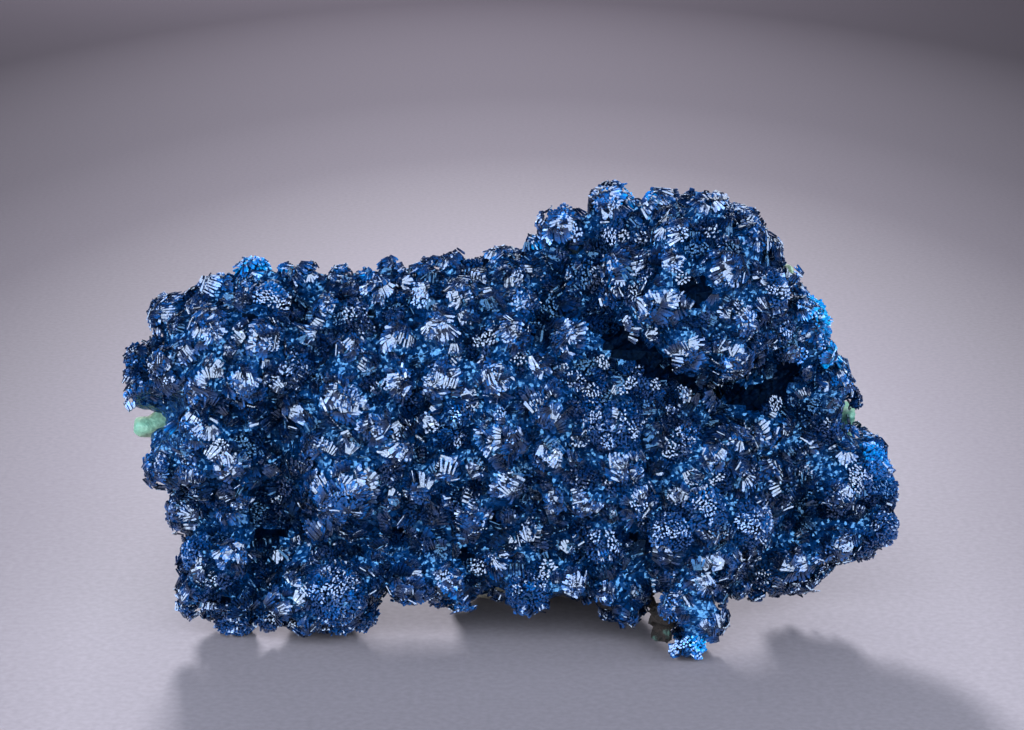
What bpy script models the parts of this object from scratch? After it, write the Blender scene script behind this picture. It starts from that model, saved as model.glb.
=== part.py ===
"""Veszelyite specimen: a crust of blue crystal rosettes on a pale green layer on a piece of brown rock.

Sizes in the lists are millimetres. X runs to the right, Y away from whoever faces the crystals and Z up.
The specimen stands on the floor at Z = 0, on a foot at the left, a spur in front and its rock behind.
The lists are laid out around the middle of the face; MIDDLE then moves all of it onto its own centre.
"""
import math

import bmesh
import bpy
import numpy as np
from mathutils import Matrix, Vector

MM = 0.001
MIDDLE = Vector((0.305, 12.075, 0.0))

GAP = 0.3
LAYER_THICKNESS = 1.5
LAYER_BACK_Y = 21.5
FLOOR_BLOCK_DEPTH = 8.0

VIEW_ELEVATION = math.radians(15.0)
VIEW_DISTANCE = 257.0
VIEW_TARGET = np.array([0.0, 12.0, 24.0])
VIEW_AHEAD = np.array([0.0, math.cos(VIEW_ELEVATION), -math.sin(VIEW_ELEVATION)])
VIEW_UP = np.array([0.0, math.sin(VIEW_ELEVATION), math.cos(VIEW_ELEVATION)])
VIEW_RIGHT = np.array([1.0, 0.0, 0.0])
EYE = VIEW_TARGET - VIEW_DISTANCE * VIEW_AHEAD

FACE_SINK = 0.35
FILL_SINK = 0.65
LEAST_FACING = 0.4
FILL_SEED = 11
FILL_RADIUS_LOW = 1.7
FILL_RADIUS_HIGH = 2.6
FILL_SPACING = 0.84
FILL_CANDIDATES_PER_MM2 = 1.2
OPEN_LEVEL = 1.02
RIM_Y = 20.0

FACET_RINGS_DEG = (32.0, 76.0, 128.0)
FACET_REACH = 1.06
FEWEST_SIDES = 5
MOST_SIDES = 7
LEAN = 0.16
STRETCH = 0.08
LOBE_DETAIL = 2
CRUST_TRIANGLES = 8100

BLOCK_SQUARENESS = 0.7
BLOCK_CORNER_REACH = (0.9, 1.04)
BEYOND = 60.0

ROCK_COLOUR = (0.10, 0.085, 0.07)
LAYER_COLOUR = (0.25, 0.52, 0.36)
CRUST_COLOUR = (0.012, 0.045, 0.16)

# The large swellings that carry the rosettes: name, centre, half sizes.
LOBES = (
    ("upper_left", (-24.2, 11.0, 25.3), (7.9, 8.5, 6.2)),
    ("left_edge", (-32.4, 13.0, 22.0), (1.9, 4.0, 3.2)),
    ("mid_left", (-26.0, 11.0, 17.2), (6.5, 8.0, 5.8)),
    ("dark_dome", (-28.6, 12.0, 10.4), (2.4, 4.0, 2.2)),
    ("left_link", (-23.5, 12.0, 10.2), (4.6, 5.0, 3.5)),
    ("left_foot", (-26.0, 9.0, 5.7), (3.6, 5.6, 4.3)),
    ("second_foot", (-17.2, 9.0, 5.2), (5.2, 6.6, 4.4)),
    ("centre_left", (-13.3, 11.0, 19.1), (9.0, 9.0, 12.9)),
    ("centre", (-2.0, 11.0, 18.6), (10.4, 9.0, 14.6)),
    ("centre_right", (8.0, 10.5, 17.4), (9.5, 9.5, 14.3)),
    ("saddle", (-3.8, 13.0, 29.6), (7.9, 6.0, 3.2)),
    ("saddle_right", (1.6, 13.0, 30.7), (3.6, 5.0, 2.9)),
    ("knob", (16.0, 9.5, 31.4), (8.0, 9.0, 8.1)),
    ("neck", (10.2, 14.0, 30.5), (6.3, 7.0, 7.6)),
    ("ball_left", (4.5, 13.0, 35.0), (1.6, 3.0, 2.6)),
    ("ball_right", (9.0, 13.0, 37.8), (1.6, 3.0, 1.8)),
    ("lower_right", (16.1, 8.5, 12.3), (6.9, 8.0, 8.1)),
    ("throat", (21.9, 14.8, 19.0), (4.6, 5.0, 5.4)),
    ("crevice", (23.6, 14.2, 12.6), (3.2, 4.6, 6.4)),
    ("spur", (16.1, 3.8, 4.3), (2.7, 3.6, 3.8)),
    ("bottom_right", (10.3, 9.0, 5.3), (3.8, 6.0, 3.6)),
    ("bottom_centre", (3.0, 9.0, 6.3), (6.5, 6.6, 3.5)),
    ("bottom_left", (-5.8, 9.5, 6.3), (6.6, 6.6, 3.3)),
    ("right_rim", (24.8, 15.5, 25.4), (3.7, 4.8, 4.8)),
    ("right_mid", (28.0, 16.0, 19.6), (3.1, 4.8, 4.0)),
    ("wing_top", (29.5, 16.0, 12.3), (5.2, 5.4, 4.6)),
    ("wing_low", (30.0, 15.5, 7.8), (4.9, 5.2, 2.8)),
    ("wing_heel", (24.6, 14.0, 5.5), (4.8, 4.6, 3.2)),
)

# The rosettes that stand out on the face, as seen from the eye point: across, up, radius.
FACE_ROSETTES = (
    (-33.3, 0.3, 1.8), (-32.9, -2.6, 2.0), (-30.4, 4.1, 2.3), (-26.6, 6.2, 1.9), (-23.3, 7.4, 2.2),
    (-18.4, 7.4, 1.7), (-15.5, 7.6, 1.3), (-16.3, 4.9, 1.6), (-21.9, 5.5, 1.8), (-27.1, 2.7, 2.3),
    (-22.6, 2.0, 2.2), (-18.9, 2.0, 2.2), (-30.7, 0.3, 1.6), (-27.7, -1.7, 2.2), (-24.0, -1.7, 2.2),
    (-19.9, -0.3, 2.2), (-23.5, -5.5, 2.0), (-27.7, -6.1, 2.3), (-18.9, -3.9, 2.0), (-31.6, -6.8, 1.8),
    (-31.4, -9.5, 1.7), (-28.7, -9.5, 1.6), (-28.9, -13.3, 2.3), (-24.9, -13.3, 2.2), (-25.2, -9.1, 2.0),
    (-21.7, -8.4, 1.7), (-20.6, -11.7, 2.0), (-20.1, -14.5, 1.4), (-28.0, -17.0, 1.8),
    (-28.5, -20.1, 1.8), (-25.3, -17.6, 2.0), (-22.0, -17.4, 2.0), (-22.4, -21.4, 1.5),
    (-20.1, -21.2, 2.0), (-16.0, -20.5, 2.9), (-15.1, -10.6, 3.6), (-15.1, -3.2, 2.7),
    (-12.6, -5.4, 2.2), (-17.2, -7.0, 2.0), (-15.5, -23.0, 1.4), (-7.9, -10.2, 2.4), (-7.4, -14.9, 2.4),
    (-11.9, -16.3, 1.6), (-13.3, -19.4, 2.3), (-9.0, -19.4, 2.3), (-5.8, -19.5, 1.7), (-3.6, -13.3, 2.0),
    (-1.1, -6.8, 2.7), (-5.5, -8.8, 1.8), (-0.4, -10.6, 2.0), (2.3, -14.7, 2.5), (-0.6, -18.1, 2.2),
    (1.6, -20.3, 2.1), (5.2, -19.6, 2.1), (4.2, -12.0, 1.8), (3.6, -8.1, 2.4), (-11.2, 8.0, 1.4),
    (-5.3, 8.4, 1.6), (-1.1, 8.9, 1.7), (-12.4, 5.9, 1.8), (-7.9, 5.5, 1.9), (-4.5, 5.9, 1.8),
    (0.7, 7.1, 1.5), (0.7, 5.0, 1.9), (-0.2, 2.6, 2.3), (5.7, 2.1, 2.4), (4.0, 8.0, 1.4),
    (-6.0, 2.8, 2.4), (-10.7, 1.7, 2.3), (-14.6, 1.5, 1.6), (-1.4, -1.4, 2.4), (2.3, -0.6, 1.8),
    (-6.2, -1.4, 2.5), (-10.6, -1.8, 2.0), (-4.9, -4.2, 1.6), (-1.3, -4.5, 1.6), (3.6, -3.6, 2.9),
    (-10.6, -7.7, 1.8), (4.5, 12.0, 2.4), (9.1, 14.2, 2.2), (13.8, 13.9, 2.0), (17.6, 13.4, 2.2),
    (21.2, 10.6, 2.1), (9.8, 11.1, 2.3), (14.7, 11.3, 2.0), (10.7, 8.6, 2.3), (14.5, 8.8, 1.6),
    (13.7, 5.7, 2.5), (19.0, 8.1, 2.3), (22.7, 6.6, 2.2), (20.6, 4.1, 1.8), (15.9, 1.8, 2.3),
    (19.7, 1.2, 2.2), (23.7, 3.2, 1.6), (11.6, 3.2, 1.6), (6.1, 8.4, 1.4), (6.0, 5.9, 1.8),
    (9.4, 1.8, 1.4), (11.8, -1.5, 2.2), (16.3, -3.3, 2.2), (19.4, -3.9, 1.4), (21.7, -6.1, 2.5),
    (9.2, -5.3, 2.7), (9.9, -8.9, 2.2), (11.1, -12.0, 2.3), (14.8, -7.0, 2.3), (17.9, -8.6, 1.8),
    (22.1, -10.4, 2.0), (21.0, -14.0, 2.3), (17.3, -12.9, 2.1), (14.5, -14.7, 2.2), (8.5, -15.6, 2.2),
    (7.0, -12.2, 1.8), (12.9, -19.4, 2.5), (8.9, -20.3, 2.0), (18.8, -17.6, 2.0), (17.0, -19.9, 1.8),
    (17.5, -22.9, 1.8), (15.2, -21.8, 2.0), (26.0, 4.5, 1.7), (27.5, 1.4, 1.7), (29.3, -2.1, 1.8),
    (26.0, -1.8, 1.8), (26.5, -6.1, 2.2), (28.9, -6.4, 1.8), (32.0, -8.8, 1.8), (26.0, -9.9, 2.0),
    (29.4, -11.5, 1.8), (33.4, -11.5, 1.6), (32.9, -14.5, 2.0), (29.4, -16.0, 1.9), (25.7, -14.0, 2.3),
    (24.7, -18.1, 2.2), (27.2, -17.4, 1.5), (22.1, -19.6, 1.5), (24.7, 7.9, 1.2),
    (-18.4, -22.7, 1.6), (-13.6, -22.6, 1.3), (-21.8, -22.6, 1.3), (-28.9, -21.2, 1.4), (-33.8, -1.3, 1.2),
    (-33.7, -3.5, 1.2), (2.2, 10.2, 1.3), (-20.6, 7.7, 1.2), (-13.2, 7.3, 1.2), (20.2, -19.7, 1.3),
    (10.6, -22.0, 1.6),
)

# The two rosettes that touch the floor: centre, radius.
FOOT_ROSETTES = (
    ((-25.0, 7.6, 1.8), 2.1),
    ((15.4, 0.6, 1.2), 1.5),
)

# Broken blocks of rock: name, centre, half sizes, number of corners, seed, whether the layer covers it.
ROCK_BLOCKS = (
    ("main", (-10.6, 19.2, 15.2), (21.6, 5.8, 10.8), 60, 3, True),
    ("upper", (12.6, 18.9, 24.0), (11.6, 5.6, 9.4), 44, 5, True),
    ("wing", (20.8, 19.6, 13.4), (9.8, 4.9, 8.8), 40, 8, True),
    ("bridge", (4.5, 20.0, 15.0), (12.5, 4.9, 9.5), 40, 27, True),
    ("foot", (2.6, 17.6, 4.2), (9.6, 5.2, 5.2), 40, 13, False),
    ("shelf", (10.2, 10.8, 4.6), (3.6, 6.8, 2.8), 34, 21, False),
    ("spur_rock", (13.4, 3.0, 2.9), (1.8, 2.6, 2.2), 26, 34, False),
)

# Lumps of the pale green layer that come out through the crust: root in the layer, tip, radius.
LAYER_LUMPS = (
    ((-28.0, 17.5, 16.6), (-32.9, 13.6, 17.8), 1.8),
    ((8.2, 16.5, 31.6), (5.6, 13.6, 34.4), 0.9),
    ((20.5, 18.4, 29.0), (25.0, 17.0, 31.4), 1.1),
    ((27.0, 19.2, 16.2), (31.0, 18.2, 17.3), 1.2),
)


def lobe_arrays():
    centres = np.array([lobe[1] for lobe in LOBES])
    halves = np.array([lobe[2] for lobe in LOBES])
    return centres, halves


def lobe_levels(points):
    """For each point and lobe, how far out the point lies: under 1 is inside the lobe."""
    centres, halves = lobe_arrays()
    return np.linalg.norm((points[:, None, :] - centres) / halves, axis=2)


def surface_normal(point, index):
    centres, halves = lobe_arrays()
    slope = (point - centres[index]) / halves[index] ** 2
    return slope / np.linalg.norm(slope)


def face_point(across, up, sink):
    """A point under the lobes' skin on a line from the eye, or where the line passes closest to a lobe."""
    centres, halves = lobe_arrays()
    aim = VIEW_TARGET + across * VIEW_RIGHT + up * VIEW_UP - EYE
    ray = aim / np.linalg.norm(aim)
    start = (EYE - centres) / halves
    step = ray / halves
    a = (step * step).sum(axis=1)
    b = (start * step).sum(axis=1)
    c = (start * start).sum(axis=1) - 1.0
    room = b * b - a * c
    if (room > 0).any():
        reach = np.where(room > 0, (-b - np.sqrt(np.maximum(room, 0.0))) / a, np.inf)
        index = int(np.argmin(reach))
        normal = surface_normal(EYE + reach[index] * ray, index)
        deeper = sink / max(-float(normal @ ray), LEAST_FACING)
        point = EYE + (reach[index] + deeper) * ray
    else:
        index = int(np.argmin(c - b * b / a))
        point = EYE - b[index] / a[index] * ray
        normal = surface_normal(point, index)
    return point, normal


def lobe_scatter(index, rng):
    """Evenly spread points on one lobe, in a shuffled order."""
    centres, halves = lobe_arrays()
    area = 4.0 * math.pi * np.prod(halves[index]) ** (2.0 / 3.0)
    count = int(area * FILL_CANDIDATES_PER_MM2)
    turn = np.arange(count) * math.pi * (3.0 - math.sqrt(5.0))
    height = 1.0 - 2.0 * (np.arange(count) + 0.5) / count
    flat = np.sqrt(1.0 - height * height)
    unit = np.stack([flat * np.cos(turn), flat * np.sin(turn), height], axis=1)
    points = centres[index] + unit * halves[index]
    return points[rng.permutation(count)]


def rosette_layout():
    """Centres, outward normals and radii of all rosettes."""
    centres = []
    normals = []
    radii = []
    for across, up, radius in FACE_ROSETTES:
        point, normal = face_point(across, up, FACE_SINK * radius)
        centres.append(point)
        normals.append(normal)
        radii.append(radius)
    for centre, radius in FOOT_ROSETTES:
        centres.append(np.array(centre))
        normals.append(np.array([0.0, -0.6, -0.8]))
        radii.append(radius)
    rng = np.random.default_rng(FILL_SEED)
    for index in range(len(LOBES)):
        for point in lobe_scatter(index, rng):
            radius = rng.uniform(FILL_RADIUS_LOW, FILL_RADIUS_HIGH)
            levels = lobe_levels(point[None, :])[0]
            levels[index] = 2.0
            if levels.min() < OPEN_LEVEL or point[1] > RIM_Y or point[2] < radius:
                continue
            normal = surface_normal(point, index)
            centre = point - FILL_SINK * radius * normal
            apart = np.linalg.norm(np.array(centres) - centre, axis=1)
            if (apart < FILL_SPACING * (np.array(radii) + radius)).any():
                continue
            centres.append(centre)
            normals.append(normal)
            radii.append(radius)
    return np.array(centres), np.array(normals), np.array(radii)


def material(name, colour, roughness):
    mat = bpy.data.materials.new(name)
    mat.use_nodes = True
    shader = mat.node_tree.nodes["Principled BSDF"]
    shader.inputs["Base Color"].default_value = (*colour, 1.0)
    shader.inputs["Roughness"].default_value = roughness
    shader.inputs["Metallic"].default_value = 0.0
    return mat


def new_object(name, bm, mat=None):
    mesh = bpy.data.meshes.new(name)
    bm.normal_update()
    bm.to_mesh(mesh)
    bm.free()
    obj = bpy.data.objects.new(name, mesh)
    bpy.context.scene.collection.objects.link(obj)
    if mat:
        mesh.materials.append(mat)
    return obj


def helper(obj):
    """Marks a shape that only cuts or joins others."""
    obj.hide_render = True
    obj.display_type = "WIRE"
    return obj


def add_rosette(bm, centre, normal, radius, rng):
    """A dome with flat facets, like a cut stone: a flat top and rings of sloping faces."""
    sides = int(rng.integers(FEWEST_SIDES, MOST_SIDES + 1))
    lean = rng.normal(0.0, LEAN, 3)
    axis = Vector(normal + lean).normalized()
    frame = axis.to_track_quat("Z", "Y").to_matrix() @ Matrix.Rotation(rng.uniform(0, math.tau), 3, "Z")
    wide = rng.uniform(1.0 - STRETCH, 1.0 + STRETCH)
    rings = []
    for polar_deg in FACET_RINGS_DEG:
        polar = math.radians(polar_deg)
        flat = radius * FACET_REACH * math.sin(polar)
        height = radius * FACET_REACH * math.cos(polar)
        ring = []
        for side in range(sides):
            turn = math.tau * side / sides
            local = Vector((flat * wide * math.cos(turn), flat / wide * math.sin(turn), height))
            ring.append(bm.verts.new((frame @ local + Vector(centre)) * MM))
        rings.append(ring)
    bm.faces.new(rings[0])
    bm.faces.new(rings[-1][::-1])
    for upper, lower in zip(rings, rings[1:]):
        for side in range(sides):
            after = (side + 1) % sides
            bm.faces.new((upper[side], lower[side], lower[after], upper[after]))


def add_ellipsoid(bm, centre, halves, detail):
    shape = Matrix.Translation(Vector(centre) * MM) @ Matrix.Diagonal((*(h * MM for h in halves), 1.0))
    bmesh.ops.create_icosphere(bm, subdivisions=detail, radius=1.0, matrix=shape)


def add_broken_block(bm, centre, halves, corners, seed, grow):
    """A convex lump with irregular flat faces, like rock that has broken."""
    rng = np.random.default_rng(seed)
    unit = rng.normal(size=(corners, 3))
    unit /= np.linalg.norm(unit, axis=1)[:, None]
    squared = np.sign(unit) * np.abs(unit) ** BLOCK_SQUARENESS
    squared *= rng.uniform(*BLOCK_CORNER_REACH, corners)[:, None]
    points = np.array(centre) + squared * (np.array(halves) + grow)
    verts = [bm.verts.new(point * MM) for point in points]
    hull = bmesh.ops.convex_hull(bm, input=verts)
    inside = [item for item in hull["geom_interior"] if isinstance(item, bmesh.types.BMVert)]
    bmesh.ops.delete(bm, geom=inside, context="VERTS")


def add_box(bm, low, high):
    size = [(b - a) * MM for a, b in zip(low, high)]
    middle = [(a + b) / 2 * MM for a, b in zip(low, high)]
    shape = Matrix.Translation(middle) @ Matrix.Diagonal((*size, 1.0))
    bmesh.ops.create_cube(bm, size=1.0, matrix=shape)


def boolean(obj, operation, other, own_shells=False, solver="EXACT"):
    step = obj.modifiers.new(f"{operation.lower()} {other.name}", "BOOLEAN")
    step.operation = operation
    step.object = other
    step.solver = solver
    if solver == "EXACT":
        step.use_self = own_shells


def rock_shape(name, grow, layered_only=False, mat=None):
    """The rock's blocks, made larger by grow and joined into one body."""
    blocks = [block[1:5] for block in ROCK_BLOCKS if block[5] or not layered_only]
    first = bmesh.new()
    add_broken_block(first, *blocks[0], grow)
    rock = new_object(name, first, mat)
    others = bmesh.new()
    for block in blocks[1:]:
        add_broken_block(others, *block, grow)
    boolean(rock, "UNION", helper(new_object(f"{name}_blocks", others)), own_shells=True)
    return finished(rock)


def finished(obj):
    """Makes the modifiers' result the object's own mesh, with its one large body and no loose crumbs."""
    graph = bpy.context.evaluated_depsgraph_get()
    bm = bmesh.new()
    bm.from_object(obj, graph)
    obj.modifiers.clear()
    left = set(bm.faces)
    bodies = []
    while left:
        body = []
        front = [left.pop()]
        while front:
            face = front.pop()
            body.append(face)
            for side in face.edges:
                if len(side.link_faces) == 2:
                    reached = left.intersection(side.link_faces)
                    left -= reached
                    front.extend(reached)
        bodies.append(body)
    bodies.sort(key=len)
    crumbs = [face for body in bodies[:-1] for face in body]
    bmesh.ops.delete(bm, geom=crumbs, context="FACES")
    bm.to_mesh(obj.data)
    bm.free()
    return obj


def thin_out(obj, triangles):
    """Merges the slivers where rosettes meet, down to about the given number of triangles."""
    now = sum(len(face.vertices) - 2 for face in obj.data.polygons)
    step = obj.modifiers.new("thin out", "DECIMATE")
    step.ratio = min(1.0, triangles / now)
    return finished(obj)


def floor_block():
    bm = bmesh.new()
    add_box(bm, (-BEYOND, -BEYOND, -FLOOR_BLOCK_DEPTH), (BEYOND, BEYOND, 0.0))
    return helper(new_object("floor_block", bm))


def layer_lumps(name, grow):
    """The green layer's lumps, made larger by grow: long eggs that run from the layer to their tips."""
    bm = bmesh.new()
    for root, tip, radius in LAYER_LUMPS:
        run = Vector(tip) - Vector(root)
        turned = run.to_track_quat("Z", "Y").to_matrix().to_4x4()
        middle = Matrix.Translation((Vector(root) + Vector(tip)) / 2 * MM)
        reach = (run.length / 2 + radius + grow) * MM
        flat = (radius + grow) * MM
        shape = middle @ turned @ Matrix.Diagonal((flat, flat, reach, 1.0))
        bmesh.ops.create_icosphere(bm, subdivisions=2, radius=1.0, matrix=shape)
    return helper(new_object(name, bm))


def rock_matrix(floor):
    rock = rock_shape("rock_matrix", 0.0, mat=material("Weathered brown rock", ROCK_COLOUR, 0.9))
    boolean(rock, "DIFFERENCE", floor)
    return finished(rock)


def hemimorphite_layer():
    layer = rock_shape(
        "hemimorphite_layer",
        LAYER_THICKNESS,
        layered_only=True,
        mat=material("Pale green layer", LAYER_COLOUR, 0.45),
    )
    lumps = layer_lumps("layer_lumps", 0.0)
    boolean(layer, "UNION", lumps)
    room = helper(rock_shape("room_for_rock", GAP))
    boolean(layer, "DIFFERENCE", room)
    bm = bmesh.new()
    add_box(bm, (-BEYOND, LAYER_BACK_Y, -BEYOND), (BEYOND, BEYOND, BEYOND))
    back = helper(new_object("behind_layer", bm))
    boolean(layer, "DIFFERENCE", back)
    return finished(layer)


def veszelyite_crust(floor):
    rng = np.random.default_rng(FILL_SEED + 1)
    bm = bmesh.new()
    for centre, normal, radius in zip(*rosette_layout()):
        add_rosette(bm, centre, normal, radius, rng)
    crust = new_object("veszelyite_crust", bm, material("Deep blue crystals", CRUST_COLOUR, 0.25))
    bm = bmesh.new()
    for _, centre, halves in LOBES:
        add_ellipsoid(bm, centre, halves, LOBE_DETAIL)
    lobes = helper(new_object("crust_lobes", bm))
    boolean(crust, "UNION", lobes, own_shells=True)
    finished(crust)
    thin_out(crust, CRUST_TRIANGLES)
    room = helper(rock_shape("room_for_layer", LAYER_THICKNESS + GAP, layered_only=True))
    foot_room = helper(rock_shape("room_for_feet", GAP))
    lump_room = layer_lumps("room_for_lumps", GAP)
    # The thinned mesh has small folds, which the exact solver takes for openings.
    for cutter in (room, foot_room, lump_room, floor):
        boolean(crust, "DIFFERENCE", cutter, solver="MANIFOLD")
    return finished(crust)


def main():
    for obj in list(bpy.data.objects):
        bpy.data.objects.remove(obj, do_unlink=True)
    floor = floor_block()
    for node in (rock_matrix(floor), hemimorphite_layer(), veszelyite_crust(floor)):
        node.data.transform(Matrix.Translation(-MIDDLE * MM))


main()
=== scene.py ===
# %% [markdown]
# # A mineral specimen: a crust of deep blue crystals on a piece of rock
# The specimen is about 70 mm wide. Thousands of flat blades of veszelyite, each a little over a millimetre
# long, stand together in fans. The fans make rosettes, the rosettes cover round swellings, and the whole
# crust sits on a thin pale green layer over brown rock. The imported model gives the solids; here each of
# them gets the fine shape and finish that the eye sees. Everything below is made in code: tables of numbers
# with numpy, meshes from those tables, and materials from nodes.

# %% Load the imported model
import math

import bpy
import numpy as np
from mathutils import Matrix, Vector, noise
from mathutils.bvhtree import BVHTree


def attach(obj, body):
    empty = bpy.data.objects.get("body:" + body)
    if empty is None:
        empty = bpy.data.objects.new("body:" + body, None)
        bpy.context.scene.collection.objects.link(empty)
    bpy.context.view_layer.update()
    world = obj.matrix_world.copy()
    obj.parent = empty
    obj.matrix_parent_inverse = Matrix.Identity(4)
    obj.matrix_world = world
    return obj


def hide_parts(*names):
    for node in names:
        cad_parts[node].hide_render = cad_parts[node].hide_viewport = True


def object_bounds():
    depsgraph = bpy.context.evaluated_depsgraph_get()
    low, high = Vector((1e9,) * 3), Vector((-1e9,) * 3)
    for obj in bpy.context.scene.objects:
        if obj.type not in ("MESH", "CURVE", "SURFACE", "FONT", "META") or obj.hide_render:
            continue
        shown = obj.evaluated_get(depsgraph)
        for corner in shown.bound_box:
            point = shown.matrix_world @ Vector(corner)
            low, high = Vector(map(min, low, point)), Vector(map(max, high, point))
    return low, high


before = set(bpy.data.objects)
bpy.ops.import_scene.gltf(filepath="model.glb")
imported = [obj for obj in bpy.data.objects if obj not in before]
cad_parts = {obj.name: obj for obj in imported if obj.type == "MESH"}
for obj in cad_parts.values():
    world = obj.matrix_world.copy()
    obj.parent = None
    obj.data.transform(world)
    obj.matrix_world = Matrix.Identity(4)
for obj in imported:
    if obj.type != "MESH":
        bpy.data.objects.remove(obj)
solid_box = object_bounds()
MM = 0.001  # Places below are in millimetres; Blender's own unit here is the metre.
print("solids", sorted(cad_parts), "box", solid_box)

# %% [markdown]
# ## The plan of the crust
# On the real crust the crystals follow the lumps of the rock: large swellings first, then rosettes on them.
# The solids were laid out in millimetres around the middle of the face, then moved by `MIDDLE`. The same
# lists are repeated here, so that every blade can be set on the rosette that its solid has. A swelling is
# an ellipsoid; a rosette on the face is given by where it is seen from the eye point.

# %% Swellings and rosettes, the same as the solids
MIDDLE = np.array([0.305, 12.075, 0.0])

VIEW_ELEVATION = math.radians(15.0)
VIEW_DISTANCE = 257.0
VIEW_TARGET = np.array([0.0, 12.0, 24.0])
VIEW_AHEAD = np.array([0.0, math.cos(VIEW_ELEVATION), -math.sin(VIEW_ELEVATION)])
VIEW_UP = np.array([0.0, math.sin(VIEW_ELEVATION), math.cos(VIEW_ELEVATION)])
VIEW_RIGHT = np.array([1.0, 0.0, 0.0])
EYE = VIEW_TARGET - VIEW_DISTANCE * VIEW_AHEAD

# Name, centre, half sizes.
LOBES = (
    ("upper_left", (-24.2, 11.0, 25.3), (7.9, 8.5, 6.2)),
    ("left_edge", (-32.4, 13.0, 22.0), (1.9, 4.0, 3.2)),
    ("mid_left", (-26.0, 11.0, 17.2), (6.5, 8.0, 5.8)),
    ("dark_dome", (-28.6, 12.0, 10.4), (2.4, 4.0, 2.2)),
    ("left_link", (-23.5, 12.0, 10.2), (4.6, 5.0, 3.5)),
    ("left_foot", (-26.0, 9.0, 5.7), (3.6, 5.6, 4.3)),
    ("second_foot", (-17.2, 9.0, 5.2), (5.2, 6.6, 4.4)),
    ("centre_left", (-13.3, 11.0, 19.1), (9.0, 9.0, 12.9)),
    ("centre", (-2.0, 11.0, 18.6), (10.4, 9.0, 14.6)),
    ("centre_right", (8.0, 10.5, 17.4), (9.5, 9.5, 14.3)),
    ("saddle", (-3.8, 13.0, 29.6), (7.9, 6.0, 3.2)),
    ("saddle_right", (1.6, 13.0, 30.7), (3.6, 5.0, 2.9)),
    ("knob", (16.0, 9.5, 31.4), (8.0, 9.0, 8.1)),
    ("neck", (10.2, 14.0, 30.5), (6.3, 7.0, 7.6)),
    ("ball_left", (4.5, 13.0, 35.0), (1.6, 3.0, 2.6)),
    ("ball_right", (9.0, 13.0, 37.8), (1.6, 3.0, 1.8)),
    ("lower_right", (16.1, 8.5, 12.3), (6.9, 8.0, 8.1)),
    ("throat", (21.9, 14.8, 19.0), (4.6, 5.0, 5.4)),
    ("crevice", (23.6, 14.2, 12.6), (3.2, 4.6, 6.4)),
    ("spur", (16.1, 3.8, 4.3), (2.7, 3.6, 3.8)),
    ("bottom_right", (10.3, 9.0, 5.3), (3.8, 6.0, 3.6)),
    ("bottom_centre", (3.0, 9.0, 6.3), (6.5, 6.6, 3.5)),
    ("bottom_left", (-5.8, 9.5, 6.3), (6.6, 6.6, 3.3)),
    ("right_rim", (24.8, 15.5, 25.4), (3.7, 4.8, 4.8)),
    ("right_mid", (28.0, 16.0, 19.6), (3.1, 4.8, 4.0)),
    ("wing_top", (29.5, 16.0, 12.3), (5.2, 5.4, 4.6)),
    ("wing_low", (30.0, 15.5, 7.8), (4.9, 5.2, 2.8)),
    ("wing_heel", (24.6, 14.0, 5.5), (4.8, 4.6, 3.2)),
)

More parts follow.
